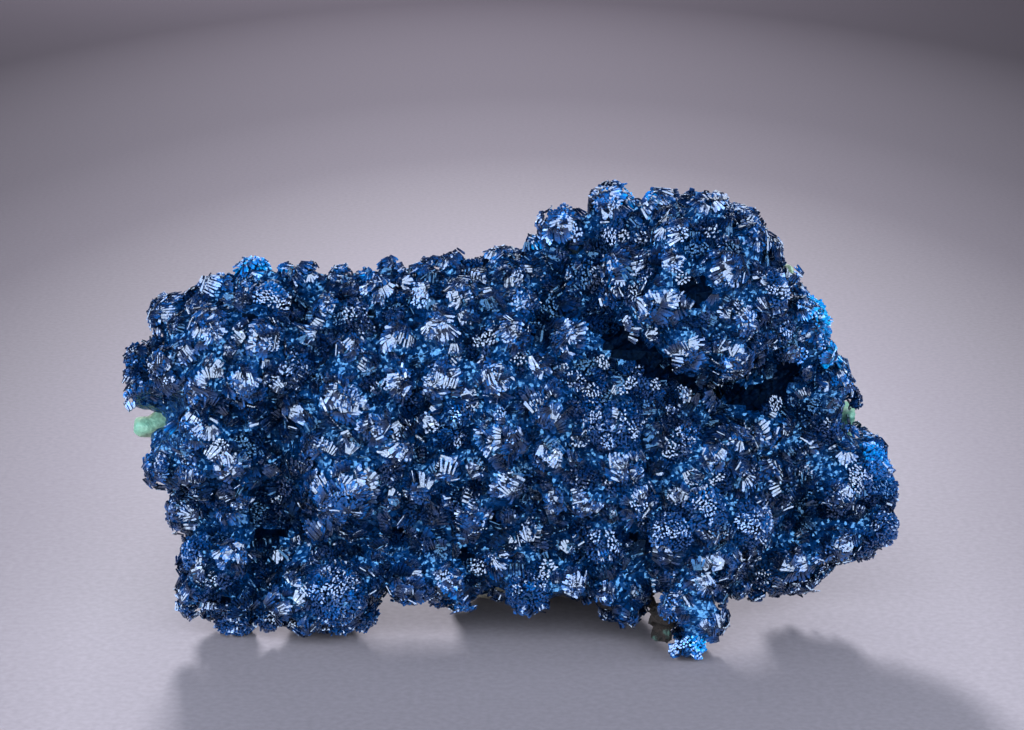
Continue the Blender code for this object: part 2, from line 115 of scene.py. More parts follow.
# Across, up, radius, as seen from the eye point.
FACE_ROSETTES = (
    (-33.3, 0.3, 1.8), (-32.9, -2.6, 2.0), (-30.4, 4.1, 2.3), (-26.6, 6.2, 1.9), (-23.3, 7.4, 2.2),
    (-18.4, 7.4, 1.7), (-15.5, 7.6, 1.3), (-16.3, 4.9, 1.6), (-21.9, 5.5, 1.8), (-27.1, 2.7, 2.3),
    (-22.6, 2.0, 2.2), (-18.9, 2.0, 2.2), (-30.7, 0.3, 1.6), (-27.7, -1.7, 2.2), (-24.0, -1.7, 2.2),
    (-19.9, -0.3, 2.2), (-23.5, -5.5, 2.0), (-27.7, -6.1, 2.3), (-18.9, -3.9, 2.0), (-31.6, -6.8, 1.8),
    (-31.4, -9.5, 1.7), (-28.7, -9.5, 1.6), (-28.9, -13.3, 2.3), (-24.9, -13.3, 2.2), (-25.2, -9.1, 2.0),
    (-21.7, -8.4, 1.7), (-20.6, -11.7, 2.0), (-20.1, -14.5, 1.4), (-28.0, -17.0, 1.8),
    (-28.5, -20.1, 1.8), (-25.3, -17.6, 2.0), (-22.0, -17.4, 2.0), (-22.4, -21.4, 1.5),
    (-20.1, -21.2, 2.0), (-16.0, -20.5, 2.9), (-15.1, -10.6, 3.6), (-15.1, -3.2, 2.7),
    (-12.6, -5.4, 2.2), (-17.2, -7.0, 2.0), (-15.5, -23.0, 1.4), (-7.9, -10.2, 2.4), (-7.4, -14.9, 2.4),
    (-11.9, -16.3, 1.6), (-13.3, -19.4, 2.3), (-9.0, -19.4, 2.3), (-5.8, -19.5, 1.7), (-3.6, -13.3, 2.0),
    (-1.1, -6.8, 2.7), (-5.5, -8.8, 1.8), (-0.4, -10.6, 2.0), (2.3, -14.7, 2.5), (-0.6, -18.1, 2.2),
    (1.6, -20.3, 2.1), (5.2, -19.6, 2.1), (4.2, -12.0, 1.8), (3.6, -8.1, 2.4), (-11.2, 8.0, 1.4),
    (-5.3, 8.4, 1.6), (-1.1, 8.9, 1.7), (-12.4, 5.9, 1.8), (-7.9, 5.5, 1.9), (-4.5, 5.9, 1.8),
    (0.7, 7.1, 1.5), (0.7, 5.0, 1.9), (-0.2, 2.6, 2.3), (5.7, 2.1, 2.4), (4.0, 8.0, 1.4),
    (-6.0, 2.8, 2.4), (-10.7, 1.7, 2.3), (-14.6, 1.5, 1.6), (-1.4, -1.4, 2.4), (2.3, -0.6, 1.8),
    (-6.2, -1.4, 2.5), (-10.6, -1.8, 2.0), (-4.9, -4.2, 1.6), (-1.3, -4.5, 1.6), (3.6, -3.6, 2.9),
    (-10.6, -7.7, 1.8), (4.5, 12.0, 2.4), (9.1, 14.2, 2.2), (13.8, 13.9, 2.0), (17.6, 13.4, 2.2),
    (21.2, 10.6, 2.1), (9.8, 11.1, 2.3), (14.7, 11.3, 2.0), (10.7, 8.6, 2.3), (14.5, 8.8, 1.6),
    (13.7, 5.7, 2.5), (19.0, 8.1, 2.3), (22.7, 6.6, 2.2), (20.6, 4.1, 1.8), (15.9, 1.8, 2.3),
    (19.7, 1.2, 2.2), (23.7, 3.2, 1.6), (11.6, 3.2, 1.6), (6.1, 8.4, 1.4), (6.0, 5.9, 1.8),
    (9.4, 1.8, 1.4), (11.8, -1.5, 2.2), (16.3, -3.3, 2.2), (19.4, -3.9, 1.4), (21.7, -6.1, 2.5),
    (9.2, -5.3, 2.7), (9.9, -8.9, 2.2), (11.1, -12.0, 2.3), (14.8, -7.0, 2.3), (17.9, -8.6, 1.8),
    (22.1, -10.4, 2.0), (21.0, -14.0, 2.3), (17.3, -12.9, 2.1), (14.5, -14.7, 2.2), (8.5, -15.6, 2.2),
    (7.0, -12.2, 1.8), (12.9, -19.4, 2.5), (8.9, -20.3, 2.0), (18.8, -17.6, 2.0), (17.0, -19.9, 1.8),
    (17.5, -22.9, 1.8), (15.2, -21.8, 2.0), (26.0, 4.5, 1.7), (27.5, 1.4, 1.7), (29.3, -2.1, 1.8),
    (26.0, -1.8, 1.8), (26.5, -6.1, 2.2), (28.9, -6.4, 1.8), (32.0, -8.8, 1.8), (26.0, -9.9, 2.0),
    (29.4, -11.5, 1.8), (33.4, -11.5, 1.6), (32.9, -14.5, 2.0), (29.4, -16.0, 1.9), (25.7, -14.0, 2.3),
    (24.7, -18.1, 2.2), (27.2, -17.4, 1.5), (22.1, -19.6, 1.5), (24.7, 7.9, 1.2),
    (-18.4, -22.7, 1.6), (-13.6, -22.6, 1.3), (-21.8, -22.6, 1.3), (-28.9, -21.2, 1.4), (-33.8, -1.3, 1.2),
    (-33.7, -3.5, 1.2), (2.2, 10.2, 1.3), (-20.6, 7.7, 1.2), (-13.2, 7.3, 1.2), (20.2, -19.7, 1.3),
    (10.6, -22.0, 1.6),
)

# Centre, radius.
FOOT_ROSETTES = (
    ((-25.0, 7.6, 1.8), 2.1),
    ((15.4, 0.6, 1.2), 1.5),
)

LOBE_CENTRES = np.array([lobe[1] for lobe in LOBES])
LOBE_HALVES = np.array([lobe[2] for lobe in LOBES])
print(len(LOBES), "swellings,", len(FACE_ROSETTES), "rosettes read from the face")

# %% [markdown]
# ## Where the rosettes sit
# A line from the eye through each rosette meets the nearest swelling, and the rosette sinks a little into
# it. The sides, top and back are filled with more rosettes, spread evenly over each swelling wherever
# there is room. The random numbers have a fixed seed, so they fall as they did for the solids.

# %% Set the rosettes on the swellings
FACE_SINK = 0.35
FILL_SINK = 0.65
LEAST_FACING = 0.4
FILL_SEED = 11
FILL_RADIUS_LOW = 1.7
FILL_RADIUS_HIGH = 2.6
FILL_SPACING = 0.84
FILL_CANDIDATES_PER_MM2 = 1.2
OPEN_LEVEL = 1.02
RIM_Y = 20.0
FAR_OUT = 2.0  # Written over a point's level on its own swelling, so that only the others count.


def lobe_levels(points):
    """For each point and swelling, how far out the point lies: under 1 is inside."""
    return np.linalg.norm((points[:, None, :] - LOBE_CENTRES) / LOBE_HALVES, axis=2)


def lobe_normal(point, index):
    slope = (point - LOBE_CENTRES[index]) / LOBE_HALVES[index] ** 2
    return slope / np.linalg.norm(slope)


def face_point(across, up, sink):
    """A point under the swellings' skin on a line from the eye, or where the line passes closest."""
    aim = VIEW_TARGET + across * VIEW_RIGHT + up * VIEW_UP - EYE
    ray = aim / np.linalg.norm(aim)
    start = (EYE - LOBE_CENTRES) / LOBE_HALVES
    step = ray / LOBE_HALVES
    a = (step * step).sum(axis=1)
    b = (start * step).sum(axis=1)
    c = (start * start).sum(axis=1) - 1.0
    room = b * b - a * c
    if (room > 0).any():
        reach = np.where(room > 0, (-b - np.sqrt(np.maximum(room, 0.0))) / a, np.inf)
        index = int(np.argmin(reach))
        normal = lobe_normal(EYE + reach[index] * ray, index)
        deeper = sink / max(-float(normal @ ray), LEAST_FACING)
        return EYE + (reach[index] + deeper) * ray, normal
    index = int(np.argmin(c - b * b / a))
    point = EYE - b[index] / a[index] * ray
    return point, lobe_normal(point, index)


def ball_points(count):
    """Evenly spread directions, wound in a spiral from pole to pole."""
    turn = np.arange(count) * math.pi * (3.0 - math.sqrt(5.0))
    height = 1.0 - 2.0 * (np.arange(count) + 0.5) / count
    flat = np.sqrt(1.0 - height * height)
    return np.stack([flat * np.cos(turn), flat * np.sin(turn), height], axis=1)


def spots_on(index, per_mm2):
    """Points spread evenly over one swelling."""
    area = 4.0 * math.pi * np.prod(LOBE_HALVES[index]) ** (2.0 / 3.0)
    return LOBE_CENTRES[index] + ball_points(int(area * per_mm2)) * LOBE_HALVES[index]


def rosette_layout():
    """Centres, outward normals and radii of all rosettes."""
    centres, normals, radii = [], [], []

    def add(centre, normal, radius):
        centres.append(np.array(centre))
        normals.append(np.array(normal))
        radii.append(radius)

    for across, up, radius in FACE_ROSETTES:
        point, normal = face_point(across, up, FACE_SINK * radius)
        add(point, normal, radius)
    for centre, radius in FOOT_ROSETTES:
        add(centre, (0.0, -0.6, -0.8), radius)
    rng = np.random.default_rng(FILL_SEED)
    for index in range(len(LOBES)):
        points = spots_on(index, FILL_CANDIDATES_PER_MM2)
        for point in points[rng.permutation(len(points))]:
            radius = rng.uniform(FILL_RADIUS_LOW, FILL_RADIUS_HIGH)
            levels = lobe_levels(point[None, :])[0]
            levels[index] = FAR_OUT
            if levels.min() < OPEN_LEVEL or point[1] > RIM_Y or point[2] < radius:
                continue
            normal = lobe_normal(point, index)
            centre = point - FILL_SINK * radius * normal
            apart = np.linalg.norm(np.array(centres) - centre, axis=1)
            if (apart >= FILL_SPACING * (np.array(radii) + radius)).all():
                add(centre, normal, radius)
    return np.array(centres), np.array(normals), np.array(radii)


centres, poles, radii = rosette_layout()
print(len(radii), "rosettes, radius", radii.min(), "to", radii.max(), "mm")

# %% [markdown]
# ## Camera
# The photograph looks down on the specimen by about 15 degrees. The camera stands at the eye point, so the
# places that were read from the face fall where they were seen. A long lens keeps the far side from
# shrinking, as a close-up photographer would want.

# %% Camera
camera_data = bpy.data.cameras.new("camera")
camera_data.lens = 100.0
camera_data.sensor_width = 36.0
camera_data.clip_start = 0.01
camera = bpy.data.objects.new("camera", camera_data)
bpy.context.scene.collection.objects.link(camera)
eye = Vector((EYE - MIDDLE) * MM)
target = Vector((VIEW_TARGET - MIDDLE) * MM)
camera.location = eye
camera.rotation_euler = (target - eye).to_track_quat("-Z", "Y").to_euler()
bpy.context.scene.camera = camera
print("camera", tuple(round(x, 4) for x in camera.location))


# %% [markdown]
# ## A few short words for nodes
# A material is a small graph: places go in, numbers and colours are worked out, and the shader takes them.
# Wiring it by hand in the shader editor is fine for one material. Here every finish shares the same few
# steps, so each step gets a helper. A helper's input may be a plain value or another node's output.

# %% Helpers for node materials
class Finish:
    """A new material, with short ways to add the nodes that every finish here is made of."""

    def __init__(self, name):
        self.mat = bpy.data.materials.new(name)
        self.mat.use_nodes = True
        self.shader = self.mat.node_tree.nodes["Principled BSDF"]
        self.place = self.node("ShaderNodeTexCoord").outputs["Object"]

    def node(self, kind, **settings):
        node = self.mat.node_tree.nodes.new(kind)
        for name, value in settings.items():
            setattr(node, name, value)
        return node

    def put(self, socket, value):
        """Join another node's output to a socket, or write a plain value into it."""
        if isinstance(value, bpy.types.NodeSocket):
            self.mat.node_tree.links.new(value, socket)
        else:
            socket.default_value = value

    def vector(self, operation, *values):
        """One step of vector arithmetic, as a node whose outputs are Vector and Value."""
        node = self.node("ShaderNodeVectorMath", operation=operation)
        for number, value in enumerate(values):
            self.put(node.inputs[number], value)
        return node.outputs

    def cloud(self, scale, detail=2.0, roughness=0.5):
        """Soft noise; scale is how many clouds fit in a metre."""
        node = self.node("ShaderNodeTexNoise")
        self.put(node.inputs["Vector"], self.place)
        for name, value in (("Scale", scale), ("Detail", detail), ("Roughness", roughness)):
            self.put(node.inputs[name], value)
        return node.outputs

    def ramp(self, factor, stops):
        """A colour for every number, from (number, (red, green, blue)) stops."""
        node = self.node("ShaderNodeValToRGB")
        for _ in stops[2:]:
            node.color_ramp.elements.new(0.5)
        for element, (number, colour) in zip(node.color_ramp.elements, stops):
            element.position = number
            element.color = (*colour, 1.0)
        self.put(node.inputs["Fac"], factor)
        return node.outputs["Color"]

    def mix(self, below, above, share=1.0, blend="MULTIPLY"):
        """One colour laid on another, by a share that may differ from place to place."""
        node = self.node("ShaderNodeMix", data_type="RGBA", blend_type=blend)
        for name, value in (("Factor", share), ("A", below), ("B", above)):
            self.put(node.inputs[name], value)
        return node.outputs["Result"]

    def near(self, middle_mm, full_mm, none_mm):
        """1 within full_mm of a point, falling to 0 at none_mm from it."""
        node = self.node("ShaderNodeMapRange")
        distance = self.vector("DISTANCE", self.place, Vector(middle_mm) * MM)["Value"]
        for name, value in (("Value", distance), ("From Min", none_mm * MM), ("From Max", full_mm * MM)):
            self.put(node.inputs[name], value)
        return node.outputs["Result"]

    def bump(self, height, strength, distance, under=None):
        """Fine relief from a height; under is the normal of a coarser relief below it."""
        node = self.node("ShaderNodeBump")
        for name, value in (("Height", height), ("Strength", strength), ("Distance", distance)):
            self.put(node.inputs[name], value)
        if under:
            self.put(node.inputs["Normal"], under)
        return node.outputs["Normal"]

    def finished(self, **sockets):
        """Fill the shader's sockets, named with underscores for spaces, and give the material back."""
        for name, value in sockets.items():
            self.put(self.shader.inputs[name.replace("_", " ")], value)
        return self.mat


# %% [markdown]
# ## The studio floor
# The specimen stands on a pale, slightly lavender floor that fades into a darker background. A plane would
# show a horizon, so photographers bend their paper up at the back. Here it bends up all the way round, like
# a shallow bowl, so that the object looks right from its sides and back too. The light patch in the middle
# is paint, a ramp over the distance from the object. It is stretched away from the camera, because the
# camera sees the floor at a low angle. The bend and the wall get an even grey instead.

# %% A bowl-shaped studio floor
STUDIO_RINGS = (60.0, 150.0, 300.0, 500.0, 700.0)
STUDIO_BEND = 260.0
STUDIO_WALL = 500.0
STUDIO_SIDES = 96


def studio_profile():
    """Radius and height from the middle of the floor, round the bend and up the wall."""
    flat = [(radius, 0.0) for radius in STUDIO_RINGS]
    angles = np.radians(np.linspace(7.5, 90.0, 12))
    bend = [(STUDIO_RINGS[-1] + STUDIO_BEND * math.sin(a), STUDIO_BEND * (1 - math.cos(a))) for a in angles]
    return flat + bend + [(STUDIO_RINGS[-1] + STUDIO_BEND, STUDIO_BEND + STUDIO_WALL)]


def studio():
    turns = np.linspace(0.0, math.tau, STUDIO_SIDES, endpoint=False)
    points = [(0.0, 0.0, 0.0)]
    for radius, height in studio_profile():
        points += [(radius * math.cos(turn), radius * math.sin(turn), height) for turn in turns]
    faces = [(0, 1 + k, 1 + (k + 1) % STUDIO_SIDES) for k in range(STUDIO_SIDES)]
    for ring in range(len(studio_profile()) - 1):
        low = 1 + ring * STUDIO_SIDES
        for k in range(STUDIO_SIDES):
            after = (k + 1) % STUDIO_SIDES
            faces.append((low + k, low + STUDIO_SIDES + k, low + STUDIO_SIDES + after, low + after))
    mesh = bpy.data.meshes.new("studio_floor")
    mesh.from_pydata((np.array(points) * MM).tolist(), [], faces)
    mesh.shade_smooth()
    obj = bpy.data.objects.new("studio_floor", mesh)
    bpy.context.scene.collection.objects.link(obj)
    return obj


floor = studio()
print("studio", len(floor.data.polygons), "faces")

# %% Paint of the floor and the wall
POOL_STRETCH = (2.5, 1.0, 0.4)
POOL_SHIFT = (-2.0, 0.0, 0.0)
POOL_REACH = 600.0
PAINTED_POOL = 520.0
# The painted pool of light on the floor, from the middle outwards.
POOL_STOPS = [
    (0.0, (0.187, 0.180, 0.200)),
    (0.17, (0.182, 0.175, 0.195)),
    (0.225, (0.145, 0.138, 0.156)),
    (0.30, (0.105, 0.0997, 0.112)),
    (0.38, (0.064, 0.0598, 0.0696)),
    (0.48, (0.040, 0.0372, 0.0440)),
    (0.70, (0.0138, 0.0126, 0.0154)),
    (1.0, (0.0093, 0.0085, 0.0105)),
]


def floor_paint():
    """Pale paper with a fine grain and a painted pool of light, darker away from the middle."""
    paint = Finish("Pale studio floor")
    middle = paint.vector("ADD", paint.place, Vector(POOL_SHIFT) * MM)["Vector"]
    oval = paint.vector("MULTIPLY", middle, POOL_STRETCH)["Vector"]
    away = paint.vector("LENGTH", oval)["Value"]
    scaled = paint.node("ShaderNodeMath", operation="MULTIPLY")
    paint.put(scaled.inputs[0], away)
    paint.put(scaled.inputs[1], 1.0 / (POOL_REACH * MM))
    pool = paint.ramp(scaled.outputs["Value"], POOL_STOPS)
    grain = paint.cloud(1600.0, 3.0)["Fac"]
    speckle = paint.ramp(grain, [(0.3, (0.92, 0.92, 0.92)), (0.7, (1.06, 1.06, 1.06))])
    return paint.finished(Base_Color=paint.mix(pool, speckle), Roughness=0.8, Specular_IOR_Level=0.1)


def wall_paint():
    """Even grey paint for the bend and the wall, which only the low and the side views show."""
    paint = Finish("Grey studio wall")
    tint = paint.ramp(paint.cloud(6.0)["Fac"], [(0.3, (0.042, 0.040, 0.045)), (0.7, (0.048, 0.046, 0.051))])
    return paint.finished(Base_Color=tint, Roughness=0.9, Specular_IOR_Level=0.1)


floor.data.materials.append(floor_paint())
floor.data.materials.append(wall_paint())
for polygon in floor.data.polygons:
    polygon.material_index = int(Vector(polygon.center.xy).length > PAINTED_POOL * MM)
print([mat.name for mat in floor.data.materials])

# %% [markdown]
# ## Lights
# Flat crystals only show when they mirror something bright, so the main lights are large soft panels: one
# above the camera, one at each side and a weaker one behind. A blade that faces none of them stays dark.
# The photograph's shadow falls towards the camera and a little to the right, with an edge, so there is also
# one small low lamp behind the specimen. At the strength that the floor needs it would burn the back out.
# It is therefore made twice in one place: a weak lamp for everything, and a strong one that is linked to
# the floor alone. Last, the view gets slightly more contrast, as a camera's own tone curve gives.

# %% Soft light panels
SOFT_WHITE = (0.88, 0.91, 1.0)
BACK_WHITE = (0.90, 0.93, 1.0)
LAMP_WHITE = (1.0, 0.97, 0.98)
AIM_HEIGHT = 20.0


def panel(name, place_mm, width_mm, height_mm, radiance, colour):
    """A soft rectangular light aimed at the specimen; radiance is how bright its face looks."""
    data = bpy.data.lights.new(name, "AREA")
    data.shape = "RECTANGLE"
    data.size = width_mm * MM
    data.size_y = height_mm * MM
    data.energy = radiance * math.pi * data.size * data.size_y
    data.color = colour
    obj = bpy.data.objects.new(name, data)
    obj.location = Vector(place_mm) * MM
    ahead = Vector((0.0, 0.0, AIM_HEIGHT * MM)) - obj.location
    obj.rotation_euler = ahead.to_track_quat("-Z", "Y").to_euler()
    obj.visible_camera = False
    bpy.context.scene.collection.objects.link(obj)
    return obj


panel("panel_front", (-20.0, -400.0, 215.0), 940.0, 430.0, 5.0, SOFT_WHITE)
panel("panel_left", (-400.0, -100.0, 130.0), 460.0, 290.0, 5.2, SOFT_WHITE)
panel("panel_right", (400.0, -110.0, 130.0), 460.0, 290.0, 4.8, SOFT_WHITE)
panel("panel_back", (0.0, 420.0, 250.0), 620.0, 240.0, 2.6, BACK_WHITE)

# %% A low lamp behind, weak for all and strong for the floor
LOW_BEHIND = (-90.0, 705.0, 172.0)
LAMP_SIZE = (100.0, 60.0)
LAMP_FOR_ALL = 480.0
LAMP_FOR_FLOOR = 1150.0

lamp = panel("lamp_behind", LOW_BEHIND, *LAMP_SIZE, LAMP_FOR_ALL, LAMP_WHITE)
floor_lamp = panel("lamp_behind_for_the_floor", LOW_BEHIND, *LAMP_SIZE, LAMP_FOR_FLOOR, LAMP_WHITE)
lamp.visible_glossy = False
floor_lamp.visible_glossy = False
floor_alone = bpy.data.collections.new("floor alone")
floor_alone.objects.link(floor)
floor_lamp.light_linking.receiver_collection = floor_alone

# %% Air and view
AIR_COLOUR = (0.50, 0.60, 0.95, 1.0)
AIR_STRENGTH = 0.15
VIEW_GAMMA = 0.90
VIEW_EXPOSURE = 0.20

air = bpy.data.worlds.new("studio air")
air.use_nodes = True
air.node_tree.nodes["Background"].inputs["Color"].default_value = AIR_COLOUR
air.node_tree.nodes["Background"].inputs["Strength"].default_value = AIR_STRENGTH
bpy.context.scene.world = air
view = bpy.context.scene.view_settings
view.view_transform = "Standard"
view.gamma = VIEW_GAMMA
view.exposure = VIEW_EXPOSURE
print("view", view.view_transform, "gamma", round(view.gamma, 2), "exposure", round(view.exposure, 2))

# %% [markdown]
# ## Small rosettes in the valleys
# The real crust never stops between its large rosettes: smaller ones fill every valley. The solid can't
# carry them all, so they are added here. Candidates are spread evenly over each swelling, and one is kept
# where it is outside the larger rosettes, away from its small neighbours, and clear of the rock and the
# green layer. A search tree over a solid tells quickly how near a point is to it.

# %% Small rosettes that close the valleys
VALLEY_SEED = 23
VALLEY_RADIUS = (1.3, 2.2)
VALLEY_SINK = 0.64
VALLEY_SPACING = 0.72
VALLEY_CANDIDATES_PER_MM2 = 3.0
VALLEY_RIM_Y = 21.0
VALLEY_LOWEST = 0.8
OUTSIDE_LARGE = 0.98
ROCK_CLEARANCE = 0.3


def solid_tree(name):
    """A search tree over one solid, with its places in the layout's millimetres."""
    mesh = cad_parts[name].data
    points = [Vector(np.array(vert.co) / MM + MIDDLE) for vert in mesh.vertices]
    return BVHTree.FromPolygons(points, [tuple(polygon.vertices) for polygon in mesh.polygons])


below_crust = [solid_tree("rock_matrix"), solid_tree("hemimorphite_layer")]


def clear_of_rock(point):
    for tree in below_crust:
        place, normal, _, distance = tree.find_nearest(Vector(point))
        if distance < ROCK_CLEARANCE or (Vector(point) - place).dot(normal) < 0:
            return False
    return True


def valley_rosettes():
    rng = np.random.default_rng(VALLEY_SEED)
    small_centres, small_poles, small_radii = [np.full(3, 999.0)], [np.zeros(3)], [0.0]
    for index in range(len(LOBES)):
        points = spots_on(index, VALLEY_CANDIDATES_PER_MM2)
        for point in points[rng.permutation(len(points))]:
            radius = rng.uniform(*VALLEY_RADIUS)
            levels = lobe_levels(point[None, :])[0]
            levels[index] = FAR_OUT
            if levels.min() < 1.0 or point[1] > VALLEY_RIM_Y or point[2] < VALLEY_LOWEST:
                continue
            if (np.linalg.norm(centres - point, axis=1) < radii * OUTSIDE_LARGE).any():
                continue
            apart = np.linalg.norm(np.array(small_centres) - point, axis=1)
            crowded = (apart < VALLEY_SPACING * (np.array(small_radii) + radius)).any()
            if crowded or not clear_of_rock(point):
                continue
            normal = lobe_normal(point, index)
            small_centres.append(point - VALLEY_SINK * radius * normal)
            small_poles.append(normal)
            small_radii.append(radius)
    return np.array(small_centres[1:]), np.array(small_poles[1:]), np.array(small_radii[1:])


solid_count = len(radii)
more_centres, more_poles, more_radii = valley_rosettes()
centres = np.concatenate([centres, more_centres])
poles = np.concatenate([poles, more_poles])
radii = np.concatenate([radii, more_radii])
print(len(more_radii), "small rosettes")

# %% [markdown]
# ## Feathers
# Several blades lie side by side in one plane, like the ribs of a feather, so a whole feather flashes at
# once. That is what the eye reads first, so feathers are placed before single blades. They stand in whorls
# round a rosette, like the petals of an open flower. The outer whorls lie flatter, and chance turns, lifts
# and rolls each feather a little, or every rosette would look cast from one mould. A feather is one row of
# a table, and numpy works out all the rows of a rosette together.

# %% Feathers lying on one rosette
WHORL_STEP = 0.74
WIDEST_WHORL_DEG = 104.0
LAST_WHORL = 0.12
WHORL_JITTER = 0.38
PETAL_JITTER = 0.12
FEATHER_WIDTH = (1.7, 2.6)
FEATHER_LENGTH = (1.0, 1.6)
FEATHER_OVERLAP = 0.86
FEATHER_TIP_LEVEL = (0.93, 1.04)
TURN_JITTER = 0.5
ROLL_JITTER = 0.32
LIFT_SHARE = 0.14
LIFT_SPREAD = (0.10, 0.26)
LEAST_LIFT_DEG = 8.0
OUTER_NARROWER = 0.35
OUTER_SHORTER = 0.25


def units(vectors):
    return vectors / np.maximum(np.linalg.norm(vectors, axis=-1, keepdims=True), 1e-9)


def turned(vectors, axes, angles):
    """Rows of vectors, each turned about its own unit axis by its own angle."""
    angles = np.asarray(angles)[..., None]
    along = (axes * vectors).sum(axis=-1, keepdims=True)
    upright = vectors * np.cos(angles) + np.cross(axes, vectors) * np.sin(angles)
    return upright + axes * along * (1.0 - np.cos(angles))


def whorl_places(radius, width, rng):
    """Polar and turn angles of the feathers' tips on one rosette, from the rim to the heart."""
    polar = math.radians(WIDEST_WHORL_DEG)
    step = WHORL_STEP * min(1.0, 0.55 + 0.25 * radius) / radius
    places = []
    while polar > LAST_WHORL:
        ring = max(2, round(math.tau * radius * math.sin(polar) / width))
        turns = (np.arange(ring) + rng.uniform() + rng.normal(0.0, PETAL_JITTER, ring)) * math.tau / ring
        places += [(polar + rng.normal(0.0, WHORL_JITTER * step), turn) for turn in turns]
        polar -= step
    return np.array(places)


def feathers_on(centre, pole, radius, rng):
    """Rows of one feather each: foot, spine, broad side, width, length, rosette radius."""
    size = min(1.0, 0.5 + 0.25 * radius)
    width = min(rng.uniform(*FEATHER_WIDTH) * size, radius)
    places = whorl_places(radius, FEATHER_OVERLAP * width, rng)
    count = len(places)
    e1 = units(np.cross(pole, rng.normal(size=3)))
    e2 = np.cross(pole, e1)
    polar, turn = places[:, :1], places[:, 1:]
    out = np.cos(turn) * e1 + np.sin(turn) * e2
    normal = np.cos(polar) * pole + np.sin(polar) * out
    away = -np.sin(polar) * pole + np.cos(polar) * out
    away = turned(away, normal, rng.normal(0.0, TURN_JITTER, count))
    lift = LIFT_SHARE * places[:, 0] + rng.normal(*LIFT_SPREAD, count)
    lift = np.maximum(lift, math.radians(LEAST_LIFT_DEG))[:, None]
    spine = np.cos(lift) * away + np.sin(lift) * normal
    broad = np.cos(lift) * normal - np.sin(lift) * away
    broad = turned(broad, spine, rng.normal(0.0, ROLL_JITTER, count))
    outer = np.clip(places[:, 0] - 1.0, 0.0, 1.0)
    widths = width * rng.uniform(0.75, 1.25, count) * (1.0 - OUTER_NARROWER * outer)
    lengths = rng.uniform(*FEATHER_LENGTH, count) * size * (1.0 - OUTER_SHORTER * outer)
    tips = centre + radius * rng.uniform(*FEATHER_TIP_LEVEL, (count, 1)) * normal
    sizes = np.stack([widths, lengths, np.full(count, radius)], axis=1)
    return np.concatenate([tips - lengths[:, None] * spine, spine, broad, sizes], axis=1)


trial = feathers_on(centres[0], poles[0], radii[0], np.random.default_rng(0))
print(len(trial), "feathers on a rosette of radius", radii[0], "mm")

# %% [markdown]
# ## Blades
# A blade is a thin flat plate, about a quarter of a millimetre wide and one to one and a half long. A
# feather's width decides how many lie side by side, and their roots stand closer together than their tips,
# so they spread like the ribs of a fan. The row bends with the rosette's roundness. Seven blades in ten
# nearly keep to the feather's plane, and the others stray from it, which breaks up the flash.

# %% Cut each feather into blades
BLADE_WIDTH = (0.20, 0.30)
BLADE_THICKNESS = (0.07, 0.12)
BLADE_GAP = 1.3
ROOT_SHARE = (0.2, 0.85)
BEND_SHARE = 0.3
PLACE_JITTER = 0.035
SWAY_JITTER = 0.05
STRAY_SHARE = 0.3
STRAY = 0.28
STEADY = 0.08


def blades_of(fans, rng):
    """Rows of one blade each: root, direction, broad side, length, width, thickness, 0; and fan numbers."""
    count = len(fans)
    wide = rng.uniform(*BLADE_WIDTH, count) * np.minimum(1.0, 0.6 + 0.25 * fans[:, 9])
    number = np.maximum(np.round(fans[:, 9] / (wide * BLADE_GAP)), 2).astype(int)
    owner = np.repeat(np.arange(count), number)
    first = np.repeat(np.cumsum(number) - number, number)
    place = 2.0 * (np.arange(len(owner)) - first + 0.5) / number[owner] - 1.0
    place = place[:, None] + rng.normal(0.0, PLACE_JITTER, (len(owner), 1))
    spine, broad = fans[owner, 3:6], fans[owner, 6:9]
    side = np.cross(spine, broad)
    share = rng.uniform(*ROOT_SHARE, count)[owner, None]
    width, length, radius = fans[owner, 9:10], fans[owner, 10:11], fans[owner, 11:12]
    sway = np.arcsin(np.clip((1.0 - share) * width / (2.0 * length), -0.95, 0.95)) * place
    sway = sway + rng.normal(0.0, SWAY_JITTER, sway.shape)
    ahead = np.cos(sway) * spine + np.sin(sway) * side
    long = length * (1.0 - 0.14 * place**2) * rng.uniform(0.7, 1.06, place.shape)
    root = fans[owner, 0:3] + place * share * width / 2.0 * side
    root = root + rng.normal(0.0, PLACE_JITTER, place.shape) * broad
    droop = BEND_SHARE * (place * width / 2.0) / radius
    ahead = units(ahead - 0.5 * droop**2 * radius / length * broad)
    broad = units(broad + droop * side)
    stray = np.where(rng.random(place.shape) < STRAY_SHARE, STRAY, STEADY)
    flat = units(broad + rng.normal(0.0, 1.0, spine.shape) * stray)
    wide = wide[owner, None] * rng.uniform(0.65, 1.2, place.shape)
    thick = rng.uniform(*BLADE_THICKNESS, place.shape)
    return np.concatenate([root, ahead, flat, long, wide, thick, np.zeros(place.shape)], axis=1), owner


print(round(len(blades_of(trial, np.random.default_rng(0))[0]) / len(trial), 1), "blades in a feather")

# %% [markdown]
# ## Grains
# In the heart of a rosette, and all over some cushion-like ones, the blades stand on end and only their
# square tips sparkle. Longer blades would be hidden in each other there, so short upright grains do. They
# grow in patches that share one direction, on a staggered grid, and each patch flashes as a whole.

# %% Grains: short blades that stand on end
GRAIN_PITCH = 0.30
GRAIN_WIDTH = (0.16, 0.29)
GRAIN_THICKNESS = (0.10, 0.18)
GRAIN_LENGTH = (0.5, 0.7)
GRAIN_JITTER = 0.07
GRAIN_TILT = 0.05
GRAIN_RISE = 0.05
GRAIN_TWIST = 0.5
PATCH_RADIUS = (0.5, 0.9)
PATCH_AREA = 1.35
PATCH_LEAN = 0.2


